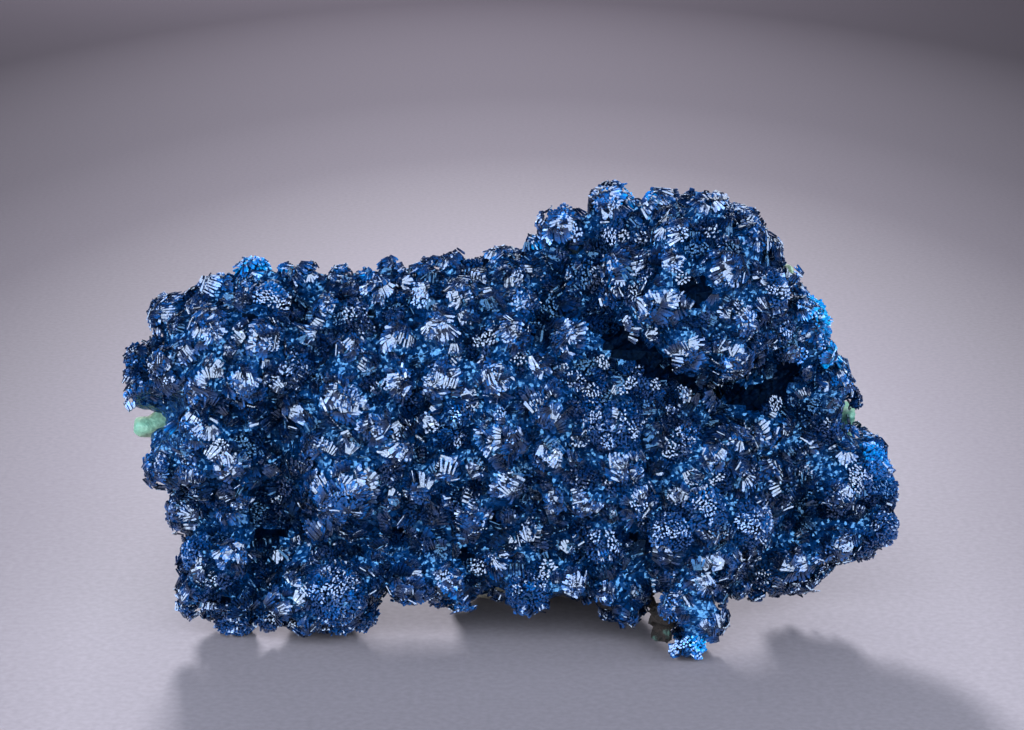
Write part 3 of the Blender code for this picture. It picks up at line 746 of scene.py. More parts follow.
def grain_patches_on(centre, pole, radius, widest_deg, rng):
    """Rows of one patch each: middle, its grains' shared direction, radius."""
    normals = ball_points(int(4.0 * math.pi * radius**2 / PATCH_AREA) + 4)
    normals = units(normals @ np.linalg.qr(rng.normal(size=(3, 3)))[0])
    normals = normals[normals @ pole > math.cos(math.radians(widest_deg))]
    count = len(normals)
    lean = units(normals + rng.normal(0.0, PATCH_LEAN, (count, 3)))
    return np.concatenate([centre + radius * normals, lean, rng.uniform(*PATCH_RADIUS, (count, 1))], axis=1)


def grains_of(patches, rng):
    """Rows as for blades, with 1 at the end; and patch numbers."""
    steps = np.arange(-5, 6) * GRAIN_PITCH
    grid = np.array([(x + (j % 2) * GRAIN_PITCH / 2, y * 0.87) for j, y in enumerate(steps) for x in steps])
    rows, owners = [], []
    for number, patch in enumerate(patches):
        lean, radius = patch[3:6], patch[6]
        e1 = units(np.cross(lean, rng.normal(size=3)))
        e2 = np.cross(lean, e1)
        spots = grid + rng.normal(0.0, GRAIN_JITTER, grid.shape)
        spots = spots[np.linalg.norm(spots, axis=1) < radius]
        count = len(spots)
        long = rng.uniform(*GRAIN_LENGTH, (count, 1))
        ahead = units(lean + rng.normal(0.0, GRAIN_TILT, (count, 3)))
        flat = turned(np.tile(e1, (count, 1)), ahead, rng.normal(0.0, GRAIN_TWIST, count))
        tip = patch[0:3] + spots[:, :1] * e1 + spots[:, 1:] * e2
        tip = tip + rng.normal(0.0, GRAIN_RISE, (count, 1)) * lean
        wide = rng.uniform(*GRAIN_WIDTH, (count, 1))
        thick = rng.uniform(*GRAIN_THICKNESS, (count, 1))
        row = [tip - long * ahead, ahead, flat, long, wide, thick, np.ones((count, 1))]
        rows.append(np.concatenate(row, axis=1))
        owners.append(np.full(count, number))
    return np.concatenate(rows), np.concatenate(owners)


trial = grain_patches_on(centres[0], poles[0], radii[0], 100.0, np.random.default_rng(0))
print(round(len(grains_of(trial, np.random.default_rng(0))[0]) / len(trial), 1), "grains in a patch")

# %% [markdown]
# ## Growing the whole crust
# Now every rosette grows, each with a slightly tilted pole. Those near the floor are cushions, so that no
# long blade reaches below it. Crystals that grow into a neighbour, a swelling or the rock would only cost
# triangles, so a feather is kept if both its tip and its middle show. A rosette counts as a ball here: a
# point is inside it if its distance, divided by the radius, is under a level a little below 1.

# %% Grow all rosettes and keep what shows
GROW_SEED = 5
POLE_JITTER = 0.16
CUSHION_SHARE = 0.16
VALLEY_CUSHION_SHARE = 0.3
CUSHION_BELOW = 2.4
CUSHION_DEG = 100.0
HEART_DEG = 28.0
TIP_LEVEL = 0.95
MIDDLE_LEVEL = 0.86
MIDDLE_SHARE = 0.45
LOWEST = 0.12
CHUNK = 2000


def reached(rows, share, length_column):
    """A point of each row's crystal or feather, at a share of its length from the root."""
    return rows[:, 0:3] + share * rows[:, length_column:length_column + 1] * rows[:, 3:6]


def shows(points, owners, level):
    """Which points lie outside the other rosettes, the swellings, the rock and the floor."""
    keep = np.ones(len(points), bool)
    for start in range(0, len(points), CHUNK):
        part = slice(start, start + CHUNK)
        levels = np.linalg.norm(points[part, None, :] - centres, axis=2) / radii
        levels[np.arange(len(levels)), owners[part]] = FAR_OUT
        keep[part] = (levels.min(axis=1) > level) & (lobe_levels(points[part]).min(axis=1) > level)
    keep &= points[:, 2] > LOWEST
    keep[keep] = [clear_of_rock(point) for point in points[keep]]
    return keep


def grow_all():
    """The table of all crystals, the rosette that each grows on, and the fan or patch it belongs to."""
    rng = np.random.default_rng(GROW_SEED)
    fans, fan_owners, patches, patch_owners = [], [], [], []
    for index in range(len(radii)):
        pole = units(poles[index] + rng.normal(0.0, POLE_JITTER, 3))
        cushion = rng.random() < (CUSHION_SHARE if index < solid_count else VALLEY_CUSHION_SHARE)
        cushion = cushion or centres[index][2] < CUSHION_BELOW
        if not cushion:
            fans.append(feathers_on(centres[index], pole, radii[index], rng))
            fan_owners.append(np.full(len(fans[-1]), index))
        widest_deg = CUSHION_DEG if cushion else HEART_DEG
        patches.append(grain_patches_on(centres[index], pole, radii[index], widest_deg, rng))
        patch_owners.append(np.full(len(patches[-1]), index))
    fans, fan_owners = np.concatenate(fans), np.concatenate(fan_owners)
    patches, patch_owners = np.concatenate(patches), np.concatenate(patch_owners)
    seen = shows(reached(fans, 1.0, 10), fan_owners, TIP_LEVEL)
    seen &= shows(reached(fans, MIDDLE_SHARE, 10), fan_owners, MIDDLE_LEVEL)
    fans, fan_owners = fans[seen], fan_owners[seen]
    seen = shows(patches[:, 0:3], patch_owners, TIP_LEVEL)
    patches, patch_owners = patches[seen], patch_owners[seen]
    blades, fan = blades_of(fans, rng)
    grains, patch = grains_of(patches, rng)
    print(len(fans), "feathers,", len(blades), "blades,", len(patches), "patches,", len(grains), "grains")
    groups = np.concatenate([fan, len(fans) + patch])
    return np.concatenate([blades, grains]), np.concatenate([fan_owners[fan], patch_owners[patch]]), groups


table, owners, fans = grow_all()

# %% [markdown]
# ## Pits, the crevice and bare places
# The dark crevice on the right, a few black pits and the spots where the green layer or the rock shows are
# what an eye remembers of this very specimen. Cutting them with booleans would leave sharp rims. Leaving
# out every fan that is seen inside a listed spot gives them the crystals' own ragged edge. A spot is given
# by where it is seen: across, up and radius in millimetres from the eye point. From here on, a feather or
# a patch of grains is called a fan.

# %% Leave out the fans in pits and bare places
PITS = (
    (16.7, 7.0, 1.3), (16.4, 5.9, 0.9), (-26.3, -0.1, 0.6), (-23.8, 4.2, 0.5),
    (-18.0, -1.4, 0.6), (-10.2, -15.1, 0.6), (-4.3, -17.3, 0.8), (-1.5, -13.8, 0.7), (11.1, -15.9, 0.8),
    (9.8, 2.2, 1.6), (11.0, 1.4, 1.4), (12.5, 0.3, 1.4), (14.1, -0.8, 1.2), (16.1, -1.7, 1.0),
    (18.1, -2.3, 1.0), (20.2, -2.8, 1.1), (22.1, -2.9, 1.4), (23.8, -2.1, 1.4), (25.1, -0.6, 1.0),
    (-22.6, -15.4, 0.8), (-21.0, -15.4, 0.8), (-26.2, -21.2, 0.6),
)
BARE = (
    (-32.4, -4.4, 2.3), (-32.9, -5.8, 2.0), (-31.2, -4.1, 1.7),
    (5.7, 10.8, 0.7), (25.3, 8.8, 0.6), (30.6, -4.4, 0.8),
    (-3.3, -21.0, 0.9), (-2.0, -21.2, 0.8), (4.6, -21.6, 1.2), (6.1, -21.9, 1.0), (7.7, -21.8, 0.9),
    (13.1, -23.6, 1.0), (13.7, -24.7, 1.0), (14.5, -25.6, 0.8),
)
FRONT_Y = 17.0
TURNED_AWAY = 0.35
WAIST_SHARE = 0.4


def seen_places(points):
    """Across and up of points as seen from the eye point."""
    rays = points - EYE
    ahead = rays @ VIEW_AHEAD
    return np.stack([rays @ VIEW_RIGHT, rays @ VIEW_UP], axis=1) / ahead[:, None] * VIEW_DISTANCE


def within(points, spots):
    """How far inside the nearest spot each point is seen: 1 in the middle, 0 at its edge, less outside."""
    seen = seen_places(points)
    spots = np.array(spots)
    return (1.0 - np.linalg.norm(seen[:, None, :] - spots[:, 0:2], axis=2) / spots[:, 2]).max(axis=1)


def by_fan(fans):
    """The first row of each fan, and for each row the number of its fan."""
    first = np.unique(fans, return_index=True)[1]
    return first, np.cumsum(np.isin(np.arange(len(fans)), first)) - 1


first, fan_number = by_fan(fans)
tips = reached(table[first], 1.0, 9)
waists = reached(table[first], WAIST_SHARE, 9)
facing = units(tips - centres[owners[first]]) @ VIEW_AHEAD < TURNED_AWAY
in_pit = np.maximum(within(tips, PITS), within(waists, PITS)) > 0.0
in_bare = np.maximum(within(tips, BARE), within(waists, BARE)) > 0.0
left_out = (facing & in_pit) | ((facing | (tips[:, 1] < FRONT_Y)) & in_bare)
keep = ~left_out[fan_number]
table, owners, fans = table[keep], owners[keep], fans[keep]
print(left_out.sum(), "fans left out of pits and bare places")

# %% [markdown]
# ## How open each fan stands
# Deep between the swellings little light arrives, and the photograph is nearly black there. The renderer
# finds much of that by itself, but real valleys are also darker because the light is soaked up on its way
# through blue crystal, and that part is painted shade. So each fan looks about: rays go out in all
# directions above it, and the share that meets no other part of the crust's solid is its openness. The most
# closed fans are hidden and left out; the rest get painted shade by their openness.

# %% Look about from each fan
RAYS = 20
REACH = 6.0
START = 0.35
HORIZON = 0.05
LEAST_OPEN = 0.30
crust_tree = solid_tree("veszelyite_crust")


def openness(points, normals):
    """Share of the sky that a point sees past the crust's own solid."""
    sky = ball_points(2 * RAYS)
    result = np.ones(len(points))
    for k, (point, normal) in enumerate(zip(points, normals)):
        rays = sky[sky @ normal > HORIZON]
        start = Vector(point + START * normal)
        hits = sum(crust_tree.ray_cast(start, Vector(ray), REACH)[0] is not None for ray in rays)
        result[k] = 1.0 - hits / len(rays)
    return result


first, fan_number = by_fan(fans)
tips = reached(table[first], 1.0, 9)
fan_owners = owners[first]
open_share = openness(tips, units(tips - centres[fan_owners]))
print("openness", np.percentile(open_share, (5, 25, 50, 75, 95)).round(2))
out = (open_share > LEAST_OPEN)[fan_number]
table, owners, fans, fan_number = table[out], owners[out], fans[out], fan_number[out]
print(len(table), "blades and grains stay")

# %% [markdown]
# ## From a table of crystals to a mesh
# A blade's outline has five corners: two at the root, two shoulders and an off-centre point. A grain has
# four, with a square end. The same outline, a thickness apart, closes it into a plate. One object for each
# crystal would be far too slow, and instances are lost in an export, so all plates of a region are one
# mesh, filled from arrays. Each corner also gets a place on a map: across is the crystal's tone, and along
# is how far up it lies, times how open its fan is; the finish turns along into painted shade. The thin
# sides sit lower on the map and get more painted shade, so that neighbours stand apart. The faces are
# flat-shaded, because a crystal face is flat and a rounded normal would kill its flash.

# %% Mesh of many crystals
BLADE_CORNERS = 5
GRAIN_CORNERS = 4
ROOT_WIDTH = (0.5, 0.8)
SHOULDERS_FROM = 0.76
POINT_SHIFT = 0.6
TONE_SPREAD = 0.006
TONE_APART = 0.002
ROOT_DEPTH = 0.05
RIM_SHADE = 0.7


def plates(rows, tones, shades, corners, rng):
    """Points, faces' corners, faces' sizes and map places of all plates with this many corners."""
    count = len(rows)
    root, ahead, flat = rows[:, None, 0:3], rows[:, None, 3:6], rows[:, 6:9]
    long, wide, thick = rows[:, 9:10, None], rows[:, 10:11, None], rows[:, 11:12, None]
    flat = units(flat - (flat * rows[:, 3:6]).sum(axis=1, keepdims=True) * rows[:, 3:6])[:, None]
    side = np.cross(ahead, flat)
    narrow = rng.uniform(*ROOT_WIDTH, count)
    full, none = np.ones(count), np.zeros(count)
    if corners == BLADE_CORNERS:
        right, left = rng.uniform(SHOULDERS_FROM, 1.0, (2, count))
        point = rng.uniform(-POINT_SHIFT, POINT_SHIFT, count)
        across = np.stack([-narrow, narrow, full, point, -full], axis=1)
        along = np.stack([none, none, right, full, left], axis=1)
    else:
        across = np.stack([-narrow, narrow, full, -full], axis=1)
        along = np.stack([none, none, full, full], axis=1)
    plane = root + along[:, :, None] * long * ahead + across[:, :, None] * wide / 2 * side
    points = np.concatenate([plane + thick / 2 * flat, plane - thick / 2 * flat], axis=1)
    ring = list(range(corners))
    faces = [ring, [2 * corners - 1 - k for k in ring]]
    faces += [[k, corners + k, corners + (k + 1) % corners, (k + 1) % corners] for k in ring]
    sizes = np.tile([len(face) for face in faces], count)
    offsets = np.arange(count)[:, None] * 2 * corners
    loops = (np.concatenate(faces)[None, :] + offsets).ravel()
    u = tones[:, None] + TONE_SPREAD * np.tile(across, 2) + np.repeat([TONE_APART, -TONE_APART], corners)
    # Along the map: painted shade, low at the root and lower in fans that stand closed.
    v = (ROOT_DEPTH + 0.9 * np.tile(along, 2)) * shades[:, None]
    places = np.stack([u, v], axis=2).reshape(-1, 2)[loops]
    # The thin sides sit lower on the map: more painted shade.
    rim = np.tile(np.repeat(np.arange(len(faces)) > 1, [len(face) for face in faces]), count)
    places[rim, 1] *= RIM_SHADE
    return points.reshape(-1, 3), loops, sizes, places


def crystals_object(name, rows, tones, shades, dull, mats, rng):
    """One piece of many crystals; dull says which of them take the second material."""
    grain = rows[:, 12] > 0.5
    kinds = [(~grain, BLADE_CORNERS), (grain, GRAIN_CORNERS)]
    made = [plates(rows[kind], tones[kind], shades[kind], corners, rng) for kind, corners in kinds]
    points = np.concatenate([made[0][0], made[1][0]])
    loops = np.concatenate([made[0][1], made[1][1] + len(made[0][0])])
    sizes = np.concatenate([made[0][2], made[1][2]])
    places = np.concatenate([made[0][3], made[1][3]])
    mesh = bpy.data.meshes.new(name)
    mesh.vertices.add(len(points))
    mesh.vertices.foreach_set("co", ((points - MIDDLE) * MM).astype(np.float32).ravel())
    mesh.loops.add(len(loops))
    mesh.loops.foreach_set("vertex_index", loops.astype(np.int32))
    mesh.polygons.add(len(sizes))
    mesh.polygons.foreach_set("loop_start", (np.cumsum(sizes) - sizes).astype(np.int32))
    mesh.update(calc_edges=True)
    quiet = [np.repeat(dull[kind], corners + 2) for kind, corners in kinds]
    mesh.polygons.foreach_set("material_index", np.concatenate(quiet).astype(np.int32))
    layer = mesh.uv_layers.new(name="OFBake")
    layer.uv.foreach_set("vector", places.astype(np.float32).ravel())
    for mat in mats:
        mesh.materials.append(mat)
    mesh.validate()
    mesh.shade_flat()
    obj = bpy.data.objects.new(name, mesh)
    bpy.context.scene.collection.objects.link(obj)
    print(name, (~grain).sum(), "blades,", grain.sum(), "grains,", int((sizes - 2).sum()), "triangles")
    return obj


# %% [markdown]
# ## The blades' finish
# The crystals are a deep blue that is nearly black inside, with a pale lavender flash where a face mirrors
# a light. Light inside thousands of small glassy bodies is slow to work out, so the depth is painted as
# shade: a ramp over the map's height goes from black at the root, and in closed fans, to full colour at the
# tip, with a touch of painted light past full colour at the very tip. A high index of refraction gives the
# strong flash. Each face also carries a relief of small leaning cells, because a perfectly flat face would
# flash all at once, and real ones are stepped. There are two finishes. In the photograph some fans flash
# and others stay quiet and blue, so the quiet ones have a lower index and a bluer mirror tint; the darkest
# fans take the quiet one, so it carries painted shade into their flash.

# %% The blades' finish
FACETS_PER_M = 3600.0
BLADE_FACET_SLOPE = 0.30
BLADE_ROUGHNESS = 0.17
TONES = [
    (0.0, (0.03, 0.62, 0.78)),
    (0.12, (0.0, 0.38, 0.88)),
    (0.28, (0.0, 0.16, 0.52)),
    (0.55, (0.0, 0.062, 0.22)),
    (0.8, (0.0, 0.034, 0.14)),
    (1.0, (0.0, 0.055, 0.12)),
]
PAINTED_SHADE_STOPS = [
    (0.0, (0.02, 0.02, 0.03)),
    (0.35, (0.2, 0.22, 0.28)),
    (0.7, (0.8, 0.8, 0.8)),
    (1.0, (1.1, 1.1, 1.1)),
]


def leaning_facets(finish, slope):
    """Each small cell's own colour, and a relief that tilts the cell to its own side."""
    cells = finish.node("ShaderNodeTexVoronoi")
    finish.put(cells.inputs["Vector"], finish.place)
    finish.put(cells.inputs["Scale"], FACETS_PER_M)
    across = finish.vector("SUBTRACT", finish.place, cells.outputs["Position"])["Vector"]
    lean = finish.vector("SUBTRACT", cells.outputs["Color"], (0.5, 0.5, 0.5))["Vector"]
    height = finish.vector("DOT_PRODUCT", across, lean)["Value"]
    return cells.outputs["Color"], finish.bump(height, 1.0, slope)


def blade_finish(name, ior, glint_tint):
    finish = Finish(name)
    chart = finish.node("ShaderNodeUVMap", uv_map="OFBake")
    parts = finish.node("ShaderNodeSeparateXYZ")
    finish.put(parts.inputs["Vector"], chart.outputs["UV"])
    tone = finish.ramp(parts.outputs["X"], TONES)
    # Painted shade over the map's height.
    painted_shade = finish.ramp(parts.outputs["Y"], PAINTED_SHADE_STOPS)
    relief = leaning_facets(finish, BLADE_FACET_SLOPE)[1]
    return finish.finished(
        Base_Color=finish.mix(tone, painted_shade), Normal=relief, Roughness=BLADE_ROUGHNESS,
        IOR=ior, Specular_Tint=glint_tint,
    )


# The second finish is a shaded copy for the darkest fans.
blade_mats = [
    blade_finish("Flashing blue blades", 2.45, (0.60, 0.73, 0.89, 1.0)),
    blade_finish("Quiet blue blades for shaded fans", 1.8, (0.28, 0.62, 1.0, 1.0)),
]
print([mat.name for mat in blade_mats])

# %% [markdown]
# ## Colour and painted shade, fan by fan
# The blades of a fan share a tone, and only a little chance separates them. Here and there, mostly at the
# rim, the crystals are thin and glow azure or turquoise; the places of these spots were read from the
# photograph. That azure is partly the crystals' own tone and partly painted light, a glow of light passing
# through thin crystal, so these fans are also painted brighter. The painted shade comes from the fan's
# openness. Fans in the valleys get more painted shade, and those around a pit more still, while azure ones
# stay bright. About the darkest third gets the quiet finish.

# %% Tone, shade and finish of every fan
# Across, up and radius in millimetres as seen from the eye point, and how azure it is there, as own tone and
# painted glow.
AZURE_AND_GLOW_SPOTS = (
    (-24.5, 9.2, 2.4, 0.85), (-21.5, 8.8, 2.0, 0.8), (-13.6, 8.6, 1.6, 0.7), (9.8, 15.9, 2.2, 0.7),
    (11.6, 15.4, 1.4, 0.9), (-5.0, -4.0, 1.6, 0.8), (8.5, 7.3, 1.2, 0.7), (-25.5, -14.9, 2.0, 0.7),
    (-4.8, -21.1, 2.0, 0.6), (28.2, 4.6, 2.6, 1.0), (29.5, 1.0, 2.4, 1.0), (27.2, 8.2, 1.6, 0.7),
    (32.0, -6.6, 2.2, 0.8), (33.5, -9.0, 2.0, 0.7), (-34.2, -3.6, 1.8, 0.85), (-33.0, -7.8, 2.2, 0.65),
    (16.8, -26.0, 1.4, 0.95), (14.4, -24.3, 1.2, 0.85), (2.4, 10.5, 1.4, 0.8), (5.0, 12.4, 1.4, 0.5),
    (22.0, 15.5, 2.4, 0.4), (-9.6, 8.6, 1.4, 0.5), (-30.5, -6.6, 1.8, 0.5), (-2.0, 9.8, 1.2, 0.5),
)
COLOUR_SEED = 9
AZURE_TONE = 0.1
AZURE_PAINTED_GLOW = 1.1
VALLEY_SHADE = 0.62
PIT_SHADE = 0.45
QUIET_SHARE = 0.34
QUIET_CHANCE = 0.18
TONE_JITTER = 0.05

rng = np.random.default_rng(COLOUR_SEED)
fan_tone = 0.40 + 0.5 * rng.beta(2.6, 2.6, len(first))
across, up = seen_places(tips).T
for x, y, radius, strength in AZURE_AND_GLOW_SPOTS:
    near = strength * np.exp(-((across - x) ** 2 + (up - y) ** 2) / radius**2)
    fan_tone = fan_tone * (1.0 - near) + AZURE_TONE * near
# Painted shade: less open fans, fans in the valleys and fans around a pit are darkened.
fan_shade = np.clip(0.22 + 1.2 * (open_share - 0.32), 0.1, 1.0)
fan_shade[fan_owners >= solid_count] *= VALLEY_SHADE
fan_shade *= np.clip(PIT_SHADE - 0.9 * within(tips, PITS), PIT_SHADE, 1.0)
# Azure fans are painted brighter: painted light of a glow through thin crystal.
fan_shade += np.clip((0.28 - fan_tone) / 0.18, 0.0, 1.0) * (AZURE_PAINTED_GLOW - fan_shade)
# The darkest fans, with a little chance, take the quiet finish: painted shade in the flash as well.
quietness = fan_shade + rng.normal(0.0, QUIET_CHANCE, len(first))
fan_dull = quietness < np.quantile(quietness, QUIET_SHARE)
tones = np.clip(fan_tone[fan_number] + rng.normal(0.0, TONE_JITTER, len(fans)), 0.02, 0.98)
shades = fan_shade[fan_number]
dull = fan_dull[fan_number]
print("mean shade", fan_shade.mean().round(2), "azure fans", int((fan_tone < 0.28).sum()))

# %% [markdown]
# ## The crust in six pieces
# A piece stays under 200,000 triangles, so the crust is parted into six strips with about as many crystals
# in each. A rosette is never cut: all its crystals go where its centre is. Before that, the few crystals
# that would stick out of the solids' own box or into the floor are left out, so that the size stays true.

# %% Six regions of crystals
BOX_MARGIN = 0.14
REGIONS = ("far_left", "left", "mid_left", "mid_right", "right", "far_right")

ends = reached(table, 1.0, 9)
inside = np.minimum(table[:, 2], ends[:, 2]) > LOWEST
box = np.array([list(v) for v in solid_box]) / MM + MIDDLE
for places in (table[:, 0:3], ends):
    inside &= (np.abs(places - box.mean(axis=0)) < (box[1] - box[0]) / 2.0 - BOX_MARGIN).all(axis=1)
columns = [column[inside] for column in (table, tones, shades, dull)]
middles = centres[owners[inside]][:, 0]
edges = np.quantile(middles, np.linspace(0.0, 1.0, len(REGIONS) + 1))
region = np.clip(np.searchsorted(edges, middles, side="right") - 1, 0, len(REGIONS) - 1)
for number, name in enumerate(REGIONS):
    mine = [column[region == number] for column in columns]
    obj = crystals_object("crystals_" + name, *mine, blade_mats, rng)
    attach(obj, "root")
    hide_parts("veszelyite_crust")

# %% [markdown]
# ## The druse between and under the blades
# Between the fans the real crust is a ground of tiny crystals, a druse. Single crystals of that size would
# be too many, so the ground is the crust's solid itself, remeshed evenly, sunk a little and roughened, with
# leaning cells in its material that glitter like small faces. Inside pits it sinks deeper and takes a
# second, almost black finish, which is painted shade. In bare places it sinks back so far that the green
# layer or rock shows.

# %% Tools to reshape a solid
def remeshed(name, voxel_mm):
    """A solid's own shape as a new, even mesh."""
    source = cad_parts[name]
    copy = bpy.data.objects.new(name + "_even", source.data.copy())
    bpy.context.scene.collection.objects.link(copy)
    step = copy.modifiers.new("even", "REMESH")
    step.mode = "VOXEL"
    step.voxel_size = voxel_mm * MM
    graph = bpy.context.evaluated_depsgraph_get()
    mesh = bpy.data.meshes.new_from_object(copy.evaluated_get(graph))
    bpy.data.objects.remove(copy)
    return mesh


def mesh_arrays(mesh):
    """Points in the layout's millimetres, and normals."""
    points = np.empty(len(mesh.vertices) * 3, np.float32)
    mesh.vertices.foreach_get("co", points)
    normals = np.empty(len(mesh.vertices) * 3, np.float32)
    mesh.vertices.foreach_get("normal", normals)
    return points.reshape(-1, 3) / MM + MIDDLE, normals.reshape(-1, 3)


def shaped(mesh, name, points, mat):
    """An object of the mesh with its points moved."""
    mesh.vertices.foreach_set("co", ((points - MIDDLE) * MM).astype(np.float32).ravel())
    mesh.update()
    mesh.materials.clear()
    mesh.materials.append(mat)
    obj = bpy.data.objects.new(name, mesh)
    bpy.context.scene.collection.objects.link(obj)
    print(name, 2 * len(mesh.polygons), "triangles")
    return obj


# %% The druse
DRUSE_VOXEL = 0.66
DRUSE_INSET = 0.38
DRUSE_GRIT = 0.12
PIT_DEPTH = 0.5
BARE_DEPTH = 2.6
SOFT_EDGE = 0.4
PIT_FACING = 0.1
BARE_FACING = 0.7
PIT_PAINT_FROM = 0.3
DRUSE_TINT = (0.25, 0.62, 1.0, 1.0)


def druse_finish(name, low, high, slope, ior, roughness):
    """Tiny crystals as leaning facets, each with its own shade between two blues."""
    finish = Finish(name)
    cells, relief = leaning_facets(finish, slope)
    tint = finish.ramp(cells, [(0.0, low), (1.0, high)])
    return finish.finished(
        Base_Color=tint, Normal=relief, Roughness=roughness, IOR=ior, Specular_Tint=DRUSE_TINT,
    )


def sunk(points, spots):
    """1 well inside a spot, falling softly to 0 at its edge."""
    return np.clip(within(points, spots), 0.0, SOFT_EDGE) / SOFT_EDGE


even = remeshed("veszelyite_crust", DRUSE_VOXEL)
points, normals = mesh_arrays(even)
points = points - normals * (DRUSE_INSET + rng.uniform(-DRUSE_GRIT, DRUSE_GRIT, len(points))[:, None])
away = normals @ VIEW_AHEAD
in_front = points[:, 1] < FRONT_Y
pits = sunk(points, PITS) * ((away < PIT_FACING) & in_front)
bare = sunk(points, BARE) * ((away < BARE_FACING) & in_front)
points = points + (PIT_DEPTH * pits + BARE_DEPTH * bare)[:, None] * VIEW_AHEAD
druse_mat = druse_finish("Blue druse", (0.0, 0.010, 0.045), (0.0, 0.040, 0.15), 1.1, 2.2, 0.2)
# The pits' near-black finish is painted shade.
pit_shade_mat = druse_finish("Painted shade of the pits", (0.0, 0.0008, 0.004), (0.0, 0.004, 0.018), 0.5, 1.15, 0.5)
druse = shaped(even, "dark_druse", points, druse_mat)
druse.data.materials.append(pit_shade_mat)
for polygon in druse.data.polygons:
    polygon.material_index = int(pits[list(polygon.vertices)].mean() > PIT_PAINT_FROM)
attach(druse, "root")
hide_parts("veszelyite_crust")

# %% [markdown]
# ## The rock
# The rock is a weathered, rusty piece with old fracture faces. It could be sculpted by hand; noise in three
# sizes does as well for a broken stone. An even mesh of the solid is moved inwards along its own normals,
# with low steps where layers broke off. It only ever loses stone, so it stays inside its solid.

# %% Shape of the rock
ROCK_VOXEL = 0.42
LAYER_AXIS = (0.12, 0.25, 0.96)
LAYER_BEND = 1.6
STEP_HEIGHT = 0.75
STEP_DEPTH = 0.65
FINE_RELIEF = 0.16
BROAD_RELIEF = 0.5
BASE_LOSS = 0.25
MOST_LOSS = 1.4


def waves(points, size_mm, octaves, seed):
    """Soft noise between about -1 and 1 at every point."""
    shift = Vector((seed * 17.3, seed * 5.1, seed * 9.7))
    return np.array([noise.fractal(Vector(point) / size_mm + shift, 1.0, 2.0, octaves) for point in points])


def ledges(points):
    """Depth of the broken layers: saw-tooth steps along a slightly tilted axis, bent by noise."""
    level = points @ np.array(LAYER_AXIS) + LAYER_BEND * waves(points, 9.0, 2, 3)
    return STEP_DEPTH * ((level / STEP_HEIGHT / 2.0) % 1.0) ** 2


rock_even = remeshed("rock_matrix", ROCK_VOXEL)
rock_points, normals = mesh_arrays(rock_even)
loss = ledges(rock_points) + FINE_RELIEF * waves(rock_points, 1.6, 4, 1)
loss = loss + BROAD_RELIEF * waves(rock_points, 6.0, 3, 2) + BASE_LOSS
rock_points = rock_points - normals * np.clip(loss, 0.0, MOST_LOSS)[:, None]
rock_points[:, 2] = np.maximum(rock_points[:, 2], 0.0)
print("stone lost, mm", np.percentile(loss, (5, 50, 95)).round(2))

# %% [markdown]
# ## The rock's finish
# Iron oxides make it brown and rusty, with pale worn places, fine grit, a few green stains from the copper
# that also made the blue crystals, and a net of hairline cracks. One noise sets the zones of colour, and
# the same noise bends the cracks, so that they don't look drawn with a ruler. Two places are known from
# the photograph: the spur's rock is nearly black, and the bottom edge is paler, which is painted light
# thrown up from the floor. Each is a soft ball around a point, because a limit on one axis would cut
# straight through the stone.

# %% The rock's finish
SPUR_MIDDLE = (13.0, -9.0, 3.0)
SPUR_REACH = (6.0, 10.0)
SPUR_DARK = (0.07, 0.06, 0.065, 1.0)
# A paler colour near the bottom edge: painted light thrown up from the floor.
FLOOR_BOUNCE_MIDDLE = (-1.0, -4.0, 3.0)
FLOOR_BOUNCE_REACH = (7.0, 10.0)
FLOOR_BOUNCE_PAINT = (0.42, 0.41, 0.34, 1.0)
COPPER_GREEN = (0.10, 0.26, 0.22, 1.0)
CRACK_BEND = (0.009, 0.009, 0.009)
CRACKS_PER_M = 330.0
CRACK_SHARE = 0.6
ROCK_COLOURS = [
    (0.30, (0.022, 0.017, 0.015)),
    (0.42, (0.060, 0.042, 0.032)),
    (0.50, (0.105, 0.072, 0.047)),
    (0.57, (0.165, 0.125, 0.088)),
    (0.66, (0.235, 0.200, 0.150)),
    (0.78, (0.120, 0.115, 0.080)),
]
GRIT = [(0.3, (0.45, 0.42, 0.40)), (0.62, (1.0, 1.0, 1.0)), (0.8, (1.35, 1.3, 1.25))]
STAINS = [(0.60, (0.0, 0.0, 0.0)), (0.68, (0.75, 0.75, 0.75))]
CRACKS = [(0.0, (0.12, 0.10, 0.10)), (0.035, (0.55, 0.53, 0.52)), (0.10, (1.0, 1.0, 1.0))]


